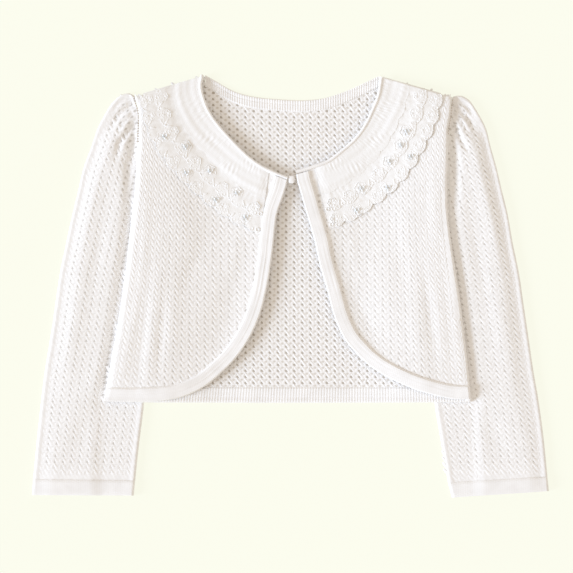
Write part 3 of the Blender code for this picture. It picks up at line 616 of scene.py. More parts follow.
# 1 at (uAt, vAt) of every stitch and 0 round it: a soft step of cos 2 pi (u - uAt) + cos 2 pi (v - vAt)
def openMeshes(tree, parts, uAt, vAt, low):
    waves = [worked(tree, "COSINE", worked(tree, "MULTIPLY_ADD", part, 2 * math.pi, -2 * math.pi * at))
             for part, at in ((parts["X"], uAt), (parts["Y"], vAt))]
    return ranged(tree, worked(tree, "ADD", *waves), (2 * low - 0.6, 1.8), kind="SMOOTHSTEP")


knit = {
    "pitchX": 6.67, "pitchY": 4.96,     # one stitch: two strands that lean together
    "lean": 0.60,                       # half the height of a strand, as a share of pitchY
    "width": 3.5, "rise": 0.26,         # a strand's width and how far it stands up
    "cross": 1.3, "tuck": 0.3,          # how far one strand crosses the column line and the other stops short
    "widths": (0.44, 0.93, 0.86), "rises": (0.95, 0.72, 0.2),
    "second": 0.7,                      # rise of the strand that stops short, as a share of the other's
    "holeAt": 0.80,                     # height of the open meshes on a column line, in stitches
    "ground": 0.8,                      # top of the plain cloth under the strands
}
stitchSize = [knit["pitchX"], knit["pitchY"]]

# Tones of yarn and lace, dark and light, the lace's second one painted shade inside each mesh of its net; the
# others are painted shade, for the shadow seen through the open meshes
tones = {
    "yarn": ((0.91, 0.895, 0.885), (0.97, 0.96, 0.955)),
    "lace": ((0.97, 0.965, 0.96), (0.92, 0.91, 0.905)), "laceHoleShade": (0.87, 0.845, 0.815),
    "holeShade": ((0.66, 0.63, 0.595), (0.87, 0.855, 0.84)),
    "backHoleShade": ((0.52, 0.47, 0.41), (0.76, 0.72, 0.67)),
}


# Soft cotton yarn: plies wound round each strand, loose fibres, faint mottling
def yarnFinish(name):
    made, tree, shader = newFinish(name, 0.88, sheen=0.15, specular=0.2)
    coords = coordsOf(tree)
    dress(tree, shader, mottled(tree, coords["Object"], tones["yarn"], 260.0),
          [(stripes(tree, coords["UV"], 3.0, 2.0), 0.35, 0.1),
           (noiseOf(tree, coords["Object"], 2600.0, 4.0), 0.25, 0.08)])
    return made


# The cloth seen between the strands. uv counts stitches: open meshes lie on the column lines, smaller ones at
# the stitches' feet, and each is painted darker, as the shade seen through it, where two waves across and along
# peak together
def groundFinish(name, holeShade):
    made, tree, shader = newFinish(name, 0.95, specular=0.1)
    coords = coordsOf(tree)
    parts = partsOf(tree, coords["UV"])
    colour = mottled(tree, coords["Object"], tones["yarn"], 220.0)
    shadeInHoles = tree.nodes.new("ShaderNodeAttribute")
    shadeInHoles.attribute_name = "shadeInHoles"
    # each mask paints shade into the open meshes, as far as the piece's attribute says
    for uAt, vAt, low, tone in ((0.5, knit["holeAt"], 0.56, holeShade[0]),
                                (0.0, knit["holeAt"] - 0.5, 0.72, holeShade[1])):
        mask = openMeshes(tree, parts, uAt, vAt, low)
        colour = overlaid(tree, worked(tree, "MULTIPLY", mask, shadeInHoles.outputs["Fac"]), colour, tone)
    dress(tree, shader, colour, [(stripes(tree, coords["UV"], 2.0, 1.0), 0.3, 0.12)])
    return made


# Fine ribbed knit of the bands: narrow wales across, small stitches along, uv in millimetres
def ribFinish(name, waleWidth):
    made, tree, shader = newFinish(name, 0.9, sheen=0.12, specular=0.2)
    coords = coordsOf(tree)
    dress(tree, shader, mottled(tree, coords["Object"], tones["yarn"], 90.0),
          [(stripes(tree, coords["UV"], 1.0 / waleWidth, 0.0), 0.22, 0.12),
           (stripes(tree, coords["UV"], 0.45 / waleWidth, 0.62), 0.3, 0.1),
           (noiseOf(tree, coords["Object"], 2400.0, 4.0), 0.25, 0.08)])
    return made


# Lace net: small round meshes in a staggered grid, each painted dimmer inside as shade, uv in millimetres from
# the shoulder.
# The open one has more painted shade in its meshes, for the knit seen under it: soft patches, darkest near the
# shoulder
def netFinish(name, holeShadeTone=None):
    made, tree, shader = newFinish(name, 0.7, sheen=0.25, specular=0.3)
    coords = coordsOf(tree)
    cells = tree.nodes.new("ShaderNodeTexVoronoi")
    cells.voronoi_dimensions, cells.feature = "2D", "DISTANCE_TO_EDGE"
    cells.inputs["Scale"].default_value = 0.75
    cells.inputs["Randomness"].default_value = 0.45
    tree.links.new(coords["UV"], cells.inputs["Vector"])
    # the dimmer tone inside each mesh is painted shade
    colour = toned(tree, cells.outputs["Distance"], (0.08, 0.42), tones["lace"])
    if holeShadeTone is not None:
        patches = noiseOf(tree, coords["UV"], 0.26, 2.0)
        near = ranged(tree, partsOf(tree, coords["UV"])["X"], (95.0, 0.0), (0.0, 0.22))
        share = ranged(tree, worked(tree, "ADD", patches, near), (0.5, 0.86))
        colour = overlaid(tree, share, colour, holeShadeTone)
    dress(tree, shader, colour, [(worked(tree, "MULTIPLY", cells.outputs["Distance"], -1.0), 0.5, 0.22),
                                 (noiseOf(tree, coords["Object"], 1500.0, 4.0), 0.25, 0.1)])
    return made


# Smooth embroidery thread, wound along its length
def threadFinish(name, dark, light):
    made, tree, shader = newFinish(name, 0.6, sheen=0.2, specular=0.3)
    coords = coordsOf(tree)
    dress(tree, shader, mottled(tree, coords["Object"], (dark, light), 260.0),
          [(stripes(tree, coords["UV"], 14.0, 2.0), 0.3, 0.08)])
    return made


# Clear iridescent finish of the sequins and beads: a faint bluish tint that shifts from piece to piece, painted
# reflection standing in for their shimmer
def glintFinish(name, tint, other, roughness):
    made, tree, shader = newFinish(name, roughness, specular=0.6)
    dress(tree, shader, mottled(tree, coordsOf(tree)["Object"], (tint, other), 420.0, detail=1.0), [])
    shader.inputs["Coat Weight"].default_value = 0.6
    shader.inputs["Coat Roughness"].default_value = 0.08
    return made


finishes = {
    "yarn": yarnFinish("cotton_yarn"),
    # both knit grounds paint shade into their open meshes, darker on the back
    "ground": groundFinish("knit_ground", tones["holeShade"]),
    "backGround": groundFinish("knit_inside", tones["backHoleShade"]),
    "rib": ribFinish("fine_rib", 1.9),
    "edgeRib": ribFinish("edge_rib", 2.6),
    "net": netFinish("lace_net"),
    "netWithPaintedShade": netFinish("lace_net_with_painted_shade", tones["laceHoleShade"]),
    "thread": threadFinish("lace_thread", (0.93, 0.925, 0.92), (0.97, 0.965, 0.96)),
    # seam thread painted tan: the shade in the gaps between the seam's stitches
    "seamShade": threadFinish("seam_thread_painted_shade", (0.50, 0.42, 0.34), (0.72, 0.65, 0.57)),
    "sequin": glintFinish("clear_sequin", (0.84, 0.87, 0.89), (0.94, 0.94, 0.93), 0.3),
    "bead": glintFinish("pearl_bead", (0.62, 0.66, 0.69), (0.80, 0.82, 0.83), 0.25),
}
print("finishes ready")

# Distances from the middle: the knit's columns on a front begin at `first`, are straight up to `from` and
# bend from there, so that the one at `to` runs along the side seam
columnsOf = {"from": 55.0, "to": 152.0, "first": -20.0}


# Middles of the knit's stitches over an area: columns follow guideX(y), rows lie level, all inside `keep`
def stitchCentres(xRange, yRange, keep, guideX=None):
    rows = np.arange(math.ceil(yRange[0] / knit["pitchY"]), yRange[1] / knit["pitchY"]) * knit["pitchY"]
    columns = np.arange(math.ceil(xRange[0] / knit["pitchX"]), xRange[1] / knit["pitchX"]) * knit["pitchX"]
    y, x = np.meshgrid(rows, columns, indexing="ij")
    if guideX is not None:
        x = x + guideX(y)
    x, y = x.ravel(), y.ravel()
    kept = keep(x, y)
    return np.column_stack([x[kept], y[kept]])


# Where the knit's columns run on a front: straight down near its free edge, and drawn together towards the
# side, where they follow the seam. Past `from`, x = from + w (a t + (1 - a) t^2), with t the share of the way
# to `to`, w the width left there and a = (to - from) / w
def columnX(side, x, y):
    sign = outward[side]
    start, end = columnsOf["from"], columnsOf["to"]
    x = x * sign
    width = sideX(side, y) * sign - start
    t = np.maximum((x - start) / (end - start), 0.0)
    a = (end - start) / width
    return sign * (np.minimum(x, start) + width * (a * t + (1.0 - a) * t * t))


# Two strands a stitch, down to its middle: one crosses the column line on its left, one starts short of the
# column line on its right
def knitStrands(name, centres, heightAt, rise, lean=0.0, downwards=False, seed=3, warp=None):
    half, drop = knit["pitchX"] / 2.0, knit["lean"] * knit["pitchY"]
    left = centres + [-half - knit["cross"] + lean * drop, drop]
    right = centres + [half - knit["tuck"] + lean * drop, drop * 0.9]
    foot = centres + [-lean * drop, -drop]
    starts = np.concatenate([left, right])
    ends = np.concatenate([foot + [0.5, 0.0], foot + [-0.4, 0.0]])
    rises = rise * np.repeat([1.0, knit["second"]], len(centres))
    return strandSet(name, starts, ends, knit["width"], rises, heightAt, finishes["yarn"],
                     downwards=downwards, seed=seed, widths=knit["widths"], rises=knit["rises"], warp=warp)


# How deep strands dive at an outline, to pass under what is sewn there: 1 from `reach` inside it, 0 at it
def clearOf(outline, reach, x, y):
    return ease(distanceTo(closedLoop(outline), x, y) * insideOf(outline, x, y) / reach)


# The outline of a grid of places: its first row, last column, last row and first column in one run
def outlineOf(flat):
    return np.vstack([flat[0, :-1], flat[:-1, -1], flat[-1, ::-1][:-1], flat[::-1, 0][:-1]])


# Outer edges of a front's band, and its inner edge: the outer one moved in by the band's width, turned to the
# neckline's direction at the neck and to the side seam's at the hem
def bandEdges(side, width, count):
    path = smoothPath(freeEdges[side], np.linspace(0.0, 1.0, count))
    along = directions(path)
    normal = np.column_stack([-along[:, 1], along[:, 0]]) * outward[side]
    share = np.linspace(0.0, 1.0, count)
    angle = np.arctan2(normal[:, 1], normal[:, 0])
    neckWay = necklines[side][-2] - necklines[side][-1]
    sideWay = bodySides[side][-2] - bodySides[side][-1]
    for way, amount in ((neckWay, 1.0 - ease(share / 0.07)), (sideWay, ease((share - 0.93) / 0.07))):
        turn = math.atan2(way[1], way[0]) - angle
        angle = angle + ((turn + math.pi) % (2 * math.pi) - math.pi) * amount
    return path, path + np.column_stack([np.cos(angle), np.sin(angle)]) * width


# The neckline moved out from the neck, over the panel
def neckEdge(side, inset, shares):
    path = smoothPath(necklines[side], shares)
    along = directions(path)
    return path + np.column_stack([-along[:, 1], along[:, 0]]) * outward[side] * inset


# A grid filled in between four edges: the mean of both ways across less the corners
def filledGrid(top, bottom, left, right, u, v):
    u, v = u[None, :, None], v[:, None, None]
    corners = ((1 - u) * (1 - v) * top[0] + u * (1 - v) * top[-1]
               + (1 - u) * v * bottom[0] + u * v * bottom[-1])
    return (1 - v) * top[None] + v * bottom[None] + (1 - u) * left[:, None] + u * right[:, None] - corners


front = {
    "rows": 98, "columns": 46, "sideColumns": 60, "sideShare": 0.2,     # more columns by the side
    "bandStations": 132, "hemFrom": 81,     # stations of the band's edge, and where it becomes the hem
    "tuck": 2.2, "neckTuck": 1.2,           # how far the cloth reaches under band and binding
    "shell": 0.75,                          # thickness of the plain cloth
    # the painted shade in the open meshes begins and fades in by these, and stays out beside the collar's front
    # end
    "closed": 13.0, "sideFade": 22.0,       # open meshes begin this far from the side and fade in
    "besideNeck": 20.0, "besideFrom": 40.0, "besideFade": 6.0,          # none beside the collar's front end
    "rimClear": 0.5, "dive": 3.2,           # stitches end this near the outline and sink this near it
    "sideBare": 4.0, "armholeBare": 0.8, "bareFrom": 62.0, "bareFade": 30.0,    # bare strip by the side
    "underCollar": 44.0,                    # no stitches this near the neckline, under the lace
}


# One front: a thin shell over the back, tucked under its band and binding, with its stitches on top
def buildFront(side):
    sign = outward[side]
    beside = np.linspace(0.0, 1.0, front["sideColumns"], endpoint=False) ** 1.5
    u = np.concatenate([front["sideShare"] * beside, np.linspace(front["sideShare"], 1.0, front["columns"])])
    v = np.linspace(0.0, 1.0, front["rows"])
    inner = bandEdges(side, pattern["bandWidth"] - front["tuck"], front["bandStations"])[1]
    neck = neckEdge(side, front["neckTuck"], np.linspace(0.01, 1.0, 60))
    neck = neck[(neck[:, 0] - inner[0, 0]) * sign > 1.0]
    down = smoothPath(bodySides[side], np.linspace(0.0, 1.0, 160))
    down = down[down[:, 1] > inner[-1, 1] + 1.5]
    right = smoothPath(np.vstack([neck[::3], inner[:front["hemFrom"] + 1:9]]), v)
    left = smoothPath(np.vstack([down[::8], inner[-1]]), v)
    top = left[0] + (right[0] - left[0]) * u[:, None]
    bottom = smoothPath(inner[front["hemFrom"]:][::-5], u)
    left[-1], right[-1] = bottom[0], bottom[-1]
    flat = filledGrid(top, bottom, left, right, u, v)
    x, y = flat[..., 0], flat[..., 1]

    # Each row's place in the even columns, read back from where columnX puts them
    evenX = np.linspace(columnsOf["first"], columnsOf["to"], 260)
    bent = columnX(side, evenX[None] * sign, y[:, :1]) * sign
    uvX = np.stack([np.interp(row, places, evenX) for row, places in zip(x * sign, bent)]) * sign
    neckline = frontEdges[side][:neckStations]
    nearNeck = 1.0 - ease((distanceTo(neckline, x, y) - front["besideNeck"]) / front["besideFade"])
    nearNeck = nearNeck * ease((y - front["besideFrom"]) / front["besideFade"])
    # painted shade in the open meshes: none near the side, none beside the collar's front end
    shadeInHoles = ease(((sideX(side, y) - x) * sign - front["closed"]) / front["sideFade"]) * (1.0 - nearNeck)
    floor = frontFloor(side, x, y)
    panel = clothShell("front_" + side + "_cloth", withHeight(flat, floor + front["shell"]),
                       withHeight(flat, floor), np.stack([uvX, y], axis=-1) / stitchSize, finishes["ground"],
                       shadeInHoles=shadeInHoles)
    outline = outlineOf(flat)
    loop = closedLoop(outline)

    def keep(evenX, y):
        x = columnX(side, evenX, y)
        upper = ease((y - front["bareFrom"]) / front["bareFade"])
        bare = front["sideBare"] + (front["armholeBare"] - front["sideBare"]) * upper
        clear = (distanceTo(loop, x, y) > front["rimClear"]) & ((sideX(side, y) - x) * sign > bare)
        return insideOf(outline, x, y) & clear & (distanceTo(neckline, x, y) > front["underCollar"])

    def stitchFloor(x, y):
        sunk = knit["rise"] * (1.0 - clearOf(outline, front["dive"], x, y))
        return frontFloor(side, x, y) + knit["ground"] - sunk

    columns = sorted([columnsOf["first"] * sign, columnsOf["to"] * sign])
    centres = stitchCentres(columns, (outline[:, 1].min(), outline[:, 1].max()), keep)
    stitches = knitStrands("front_" + side + "_stitches", centres, stitchFloor, knit["rise"], seed=5,
                           warp=lambda x, y: columnX(side, x, y))
    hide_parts("front_" + side)
    return panel, stitches


# Side oval: its middle lies `inside` the seam, `sink` lower; `wide` is half its width, `high` its height's share
roll = {"stations": 200, "around": 14, "inside": 1.9, "wide": 2.4, "sink": 0.2, "high": 0.76}


# The rounded side where a front and the back are joined: ovals along the side seam, as high as both together
def buildSideRoll(side):
    path = smoothPath(bodySides[side], np.linspace(0.035, 0.995, roll["stations"]))
    turn = np.linspace(0.0, 2 * math.pi, roll["around"], endpoint=False)
    half = (lay["ribHeight"] + lay["gap"] + lay["knitWall"]) / 2.0
    k = np.arange(len(path))
    ripple = 1.0 + 0.05 * np.sin(k * 0.83) + 0.04 * np.sin(k * 0.31)
    x = path[:, :1] + outward[side] * (roll["wide"] * np.cos(turn)[None] - roll["inside"])
    y = np.repeat(path[:, 1:], len(turn), axis=1)
    middle = carriedHeight(path[:, 0], path[:, 1])[:, None] + half - roll["sink"]
    z = middle + half * roll["high"] * ripple[:, None] * np.sin(turn)[None]
    uvAlong = np.linspace(0.0, lengthsAlong(path)[-1], len(path))
    return closedBar("side_roll_" + side, np.stack([x, y, z], axis=-1), uvAlong,
                     np.linspace(0.0, 15.0, len(turn) + 1), finishes["rib"])


# A band carried along two edges. Its top is its height times swell, rise, fall and ribs: a rounded outer
# edge, a lower inner one and soft lengthwise ribs that wander and change in depth along it, with narrow
# wales across. calm, 0 to 1, evens swell and ribs out
def bandPiece(name, outer, inner, floorAt, height, lengthRibs, wales, finish, calm=0.0):
    across = np.concatenate([[0.03], np.linspace(0.0, 1.0, 41), [1.0, 0.5]])
    s = across[1:-2]
    length = lengthsAlong(outer)
    swell = 0.9 + 0.1 * np.cos((s - 0.13) * math.pi / 0.3) * (s < 0.43)
    swell = swell + calm * (0.84 + 0.16 * ease(s / 0.8) - swell)
    rise = np.clip(s / 0.075, 0.0, 1.0) ** 0.5
    fall = 1.0 - 0.42 * ease((s - 0.88) / 0.12)
    wander = 0.10 * np.sin(length / 19.0) + 0.07 * np.sin(length / 7.7 + 1.3)
    depth = 0.024 + 0.02 * np.sin(length / 12.0 + 0.7) + 0.012 * np.sin(length / 4.6)
    wave = np.cos(2 * math.pi * ((s - 0.13) * lengthRibs + wander[:, None]))
    small = np.cos(2 * math.pi * (s * lengthRibs * 2.3 + 0.16 * np.sin(length / 9.0)[:, None]))
    ribs = 1.0 + (1.0 - 0.6 * calm) * (depth[:, None] * wave + 0.012 * small) * ease(s / 0.2)
    share = np.pad(swell * rise * fall * ribs / 1.05 + 0.04, ((0, 0), (1, 2)))
    flat = outer[:, None] + (inner - outer)[:, None] * across[None, :, None]
    wale = 1.0
    if wales:
        wale = 1.0 + 0.1 * np.cos(2 * math.pi * length / wales)[:, None] * ease(share / 0.5)
    rings = withHeight(flat, floorAt(flat[..., 0], flat[..., 1]) + share * height * wale)
    around = np.concatenate([across * float(np.hypot(*(inner - outer).T).mean()), [0.0]])
    return closedBar(name, rings, length, around, finish)


# The band round a front's free edge, between bandEdges
def buildFrontBand(side):
    outer, inner = bandEdges(side, pattern["bandWidth"], 300)
    band = bandPiece("front_band_" + side + "_cloth", outer, inner, lambda x, y: frontFloor(side, x, y),
                     lay["bandHeight"], 3.4, 0.0, finishes["edgeRib"], calm=0.5 if side == "left" else 1.0)
    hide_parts("front_band_" + side)
    return band


binding = {"radius": 1.45, "ripple": 0.05, "stations": 190}


# The rolled binding of a neckline: a round bar just over the panel's edge
def buildPiping(side):
    path = neckEdge(side, binding["radius"], np.linspace(0.008, 1.0, binding["stations"]))
    line = withHeight(path, frontFloor(side, path[:, 0], path[:, 1]) + binding["radius"])
    beads = binding["radius"] * (1.0 + binding["ripple"] * np.cos(np.arange(len(path)) * 2.1))
    piping = cordSet("neck_piping_" + side + "_cloth", line[None], beads[None], finishes["rib"],
                     sides=10)
    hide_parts("neck_piping_" + side)
    return piping


back = {
    "rows": 72, "columns": 50, "sideColumns": 26,
    "tuck": 2.0, "shoulderTuck": 1.5,       # how far the cloth reaches under hem, neck band and shoulder
    "shell": (0.55, 1.05),                  # underside and top of the plain cloth
    "rise": 0.46, "under": 0.4,             # how far strands stand up inside and hang down outside
    "sunk": 0.1, "rimClear": 0.4, "dive": 2.4,
    "neckMargin": 90.0, "margin": 22.0,     # how far the strands inside go on under the fronts
}


# The back panel: a thin shell with stitches above, on the inside that shows, and below, on the outside. Its
# columns fan out from the neck band's ends to the sides and run straight down between them
def buildBack():
    hemTop = pattern["hemY"] + pattern["hemDepth"] - back["tuck"]
    neck = smoothPath(backNeck, np.linspace(0.0, 1.0, 200)) - [0.0, pattern["neckBandDepth"] - back["tuck"]]
    down = np.linspace(0.0, 1.0, back["rows"])[:, None]
    step = {"left": neck[0, 0], "right": neck[-1, 0]}
    middleX = step["left"] + np.linspace(0.0, 1.0, back["columns"]) * (step["right"] - step["left"])
    middleTop = np.interp(middleX, neck[:, 0], neck[:, 1])
    middle = np.stack([np.tile(middleX, (len(down), 1)), middleTop + down * (hemTop - middleTop)], axis=-1)
    beside = np.linspace(0.0, 1.0, back["sideColumns"])
    wings = {}
    for side, near in (("left", backNeck[0]), ("right", backNeck[-1])):
        sign = outward[side]
        shoulder = bodySides[side][0, 1]
        shoulder = shoulder + beside * (near[1] - back["shoulderTuck"] - shoulder)
        y = shoulder + down * (hemTop - shoulder)
        edge = sideX(side, y) - sign * 0.6
        wings[side] = np.stack([edge + beside * (step[side] + sign * 1.0 - edge), y], axis=-1)
    flat = np.concatenate([wings["left"], middle, wings["right"][:, ::-1]], axis=1)
    floor = carriedHeight(flat[..., 0], flat[..., 1])
    under, top = back["shell"]
    # painted shade shows in every open mesh of the back, in its darker tones
    panel = clothShell("back_cloth", withHeight(flat, floor + top), withHeight(flat, floor + under),
                       flat / stitchSize, finishes["backGround"], shadeInHoles=np.ones(flat.shape[:2]))
    outline = outlineOf(flat)
    loop = closedLoop(outline)

    def keep(x, y):
        return insideOf(outline, x, y) & (distanceTo(loop, x, y) > back["rimClear"])

    def insideFloor(x, y):
        diving = 1.0 - clearOf(outline, back["dive"], x, y)
        return carriedHeight(x, y) + top - back["sunk"] - back["rise"] * diving

    # Only what shows through the neck and the front opening, and a margin under the fronts
    def shown(x, y):
        near = np.ones(x.shape, bool)
        for side in sideNames:
            edges = frontEdges[side]
            edge = np.interp(y, edges[::-1, 1], edges[::-1, 0])
            margin = np.where(y > edges[neckStations, 1], back["neckMargin"], back["margin"])
            near &= (x - edge) * outward[side] < margin
        return keep(x, y) & near

    ranges = list(zip(outline.min(axis=0), outline.max(axis=0)))
    inside = knitStrands("back_inside_stitches", stitchCentres(*ranges, shown), insideFloor, back["rise"],
                         seed=7)
    outside = knitStrands("back_outside_stitches", stitchCentres(*ranges, keep),
                          lambda x, y: carriedHeight(x, y) + under + back["sunk"], back["under"],
                          downwards=True, seed=9)
    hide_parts("back")
    return panel, inside, outside


# The hem, between a level line and a lower one bowed down by 1 mm, and the band below the back's neckline
def buildBackBands():
    u = np.linspace(0.0, 1.0, 480)
    hemTop = pattern["hemY"] + pattern["hemDepth"]
    lowLeft, lowRight = bodySides["left"][-1, 0] + 0.5, bodySides["right"][-1, 0] - 0.5
    topLeft, topRight = sideX("left", hemTop), sideX("right", hemTop)
    lower = np.column_stack([lowLeft + u * (lowRight - lowLeft), pattern["hemY"] - np.sin(math.pi * u)])
    upper = np.column_stack([topLeft + u * (topRight - topLeft), np.full(len(u), hemTop)])
    hem = bandPiece("back_hem_cloth", lower, upper, carriedHeight, lay["ribHeight"], 1.0, 2.3,
                    finishes["rib"])
    neck = smoothPath(backNeck, np.linspace(0.0, 1.0, 300))
    neckBand = bandPiece("back_neck_band_cloth", neck, neck - [0.0, pattern["neckBandDepth"]],
                         lambda x, y: np.zeros(x.shape), lay["ribHeight"], 1.0, 2.1, finishes["rib"])
    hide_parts("back_hem")
    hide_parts("back_neck_band")
    return hem, neckBand


# Depth of the gathers at a point: each is a trough along its line that fades to its lower end
def gatherDepth(gathers, x, y):
    depth = np.zeros(np.shape(x))
    for x0, y0, x1, y1, x2, y2, width, deep in gathers:
        line = np.array([(x0, y0), (x1, y1), (x2, y2)])
        start, end = np.hypot(x - x0, y - y0), np.hypot(x - x2, y - y2)
        fade = ease(end / (start + end + 1e-6) * 1.6)
        depth += deep * fade * np.exp(-(distanceTo(line, x, y) / width) ** 2)
    return depth


sleeve = {
    "rows": 122, "across": 84, "acrossUnder": 20,       # rings along a sleeve, points over and under each
    "denseRows": 420, "denseAcross": 160,               # a finer one that the stitches' heights are read from
    "yRange": (-164.0, 158.0),
    "wall": 1.1, "lift": 0.42,                          # cloth thickness, and room above it for the stitches
    "under": 0.35,                                      # how far the strands below hang down
    "rimClear": 2.4, "foldReach": 5.0,                  # strands end this near the folds and sink from here
    "cuffTop": -161.5, "cuffRings": 16, "cuffWall": 1.4, "cuffProud": 0.9,
}


# Rings round a flattened sleeve: straight lines from outer to inner fold, bowed to the armhole near it, flat
# below, half round at both folds, and above them edge + swell - gathers + creases
def sleeveRings(side, rows, across=sleeve["across"]):
    edge = lay["sleeveEdge"]
    radius = edge / 2.0
    outer, inner, rise, hug = rows[:, None, 0:2], rows[:, None, 2:4], rows[:, 4:5], rows[:, 5:6]
    margin = radius / np.hypot(*(outer - inner)[:, 0].T)[:, None]
    even = np.linspace(0.0, 1.0, 60)
    armhole = smoothPath(armholes[side], even)
    straight = armhole[0] + (armhole[-1] - armhole[0]) * even[:, None]
    angles = np.radians([67.5, 45.0, 22.5, 0.0, -22.5, -45.0, -67.5])
    topShare = margin + (1.0 - 2 * margin) * np.linspace(0.0, 1.0, across)[None]
    underShare = (1.0 - margin) - (1.0 - 2 * margin) * np.linspace(0.0, 1.0, sleeve["acrossUnder"])[None]
    share = np.concatenate([topShare, 1.0 - margin + margin * np.cos(angles), underShare,
                            margin - margin * np.cos(angles)], axis=1)
    bow = np.interp(share, even, (armhole - straight)[:, 0])
    x = outer[..., 0] + (inner - outer)[..., 0] * share + hug * bow
    y = outer[..., 1] + (inner - outer)[..., 1] * share
    topX, topY = x[:, :across], y[:, :across]
    beyond = (topX - sideX(side, topY)) * outward[side]
    inFromFold = ease((topShare - margin) / 0.18)
    swell = rise * inFromFold * ease(beyond / lay["sleeveSwell"])
    gathers = gatherDepth(sleeveGathers[side], topX, topY) * ease(beyond / 4.0)
    creases = creaseHeight(sleeveCreases[side], topX, topY) * inFromFold * ease(beyond / 10.0)
    creases = creases * ease((topShare[:, ::-1] - margin) / 0.12)
    top = edge + swell - np.minimum(gathers, swell + 1.2) + np.maximum(creases, -swell * 0.7)
    rounded = np.broadcast_to(radius + radius * np.sin(angles), (len(rows), len(angles)))
    under = np.zeros((len(rows), underShare.shape[1]))
    return np.stack([x, y, np.concatenate([top, rounded, under, rounded[:, ::-1]], axis=1)], axis=-1)


# Rings moved inwards by the cloth's thickness, along each ring's own normal
def movedIn(rings, wall):
    ahead = np.roll(rings, -1, axis=1) - np.roll(rings, 1, axis=1)
    level = rings[:, len(rings[0]) // 3] - rings[:, 0]
    level = level / np.linalg.norm(level, axis=1, keepdims=True)
    run = np.einsum("rpk,rk->rp", ahead, level)
    size = np.maximum(np.hypot(run, ahead[..., 2]), 1e-6)
    inward = np.stack([level[:, None, 0] * ahead[..., 2] / size, level[:, None, 1] * ahead[..., 2] / size,
                       -run / size], axis=-1)
    return rings + inward * wall


# An open tube with a real wall: outer rings, inner rings and the two rims that join them
def clothTube(name, rings, wall, finish, uvScale, guideX=None, shadeInHolesAt=None):
    count, around = rings.shape[:2]
    size = count * around
    points = np.concatenate([rings.reshape(-1, 3), movedIn(rings, wall).reshape(-1, 3)])
    outerFaces = gridFaces(count, around, closed=True)
    innerFaces = gridFaces(count, around, closed=True, first=size)[:, ::-1]
    k, n = np.arange(around), (np.arange(around) + 1) % around
    firstRim = np.stack([k + size, n + size, n, k], axis=1)
    last = (count - 1) * around
    lastRim = np.stack([last + k, last + n, last + n + size, last + k + size], axis=1)
    faceSets, _ = facingOut(points, [outerFaces, innerFaces, firstRim, lastRim])
    shift = 0.0 if guideX is None else guideX(points[:, 1])
    uv = np.column_stack([points[:, 0] - shift, points[:, 1]]) / uvScale
    shadeInHoles = np.ones(len(points)) if shadeInHolesAt is None else shadeInHolesAt(points[:, 0], points[:, 1])
    return makePiece(name, points, faceSets, finish, uv=uv, shadeInHoles=shadeInHoles)


# A raster of a surface's height: the mean of its points in each square, empty squares filled from their
# neighbours, read back by weighing the four nearest squares
def heightMap(points, step=1.0):
    points = points.reshape(-1, 3)
    low = points[:, :2].min(axis=0) - 4 * step
    size = np.ceil((points[:, :2].max(axis=0) - low) / step).astype(int) + 5
    place = np.round((points[:, :2] - low) / step).astype(int)
    index = place[:, 0] * size[1] + place[:, 1]
    total = np.bincount(index, weights=points[:, 2], minlength=size.prod()).reshape(size)
    count = np.bincount(index, minlength=size.prod()).reshape(size).astype(float)
    for _ in range(4):
        empty = count == 0
        spreadTotal, spreadCount = np.zeros(size), np.zeros(size)
        for axis in (0, 1):
            for shift in (-1, 1):
                spreadTotal += np.roll(total, shift, axis)
                spreadCount += np.roll(count, shift, axis)
        total, count = np.where(empty, spreadTotal, total), np.where(empty, spreadCount, count)
    grid = total / np.maximum(count, 1.0)

    def heightAt(x, y):
        u = np.clip((x - low[0]) / step, 0, size[0] - 1.001)
        v = np.clip((y - low[1]) / step, 0, size[1] - 1.001)
        i, j = u.astype(int), v.astype(int)
        a, b = u - i, v - j
        return (grid[i, j] * (1 - a) * (1 - b) + grid[i + 1, j] * a * (1 - b)
                + grid[i, j + 1] * (1 - a) * b + grid[i + 1, j + 1] * a * b)

    return heightAt


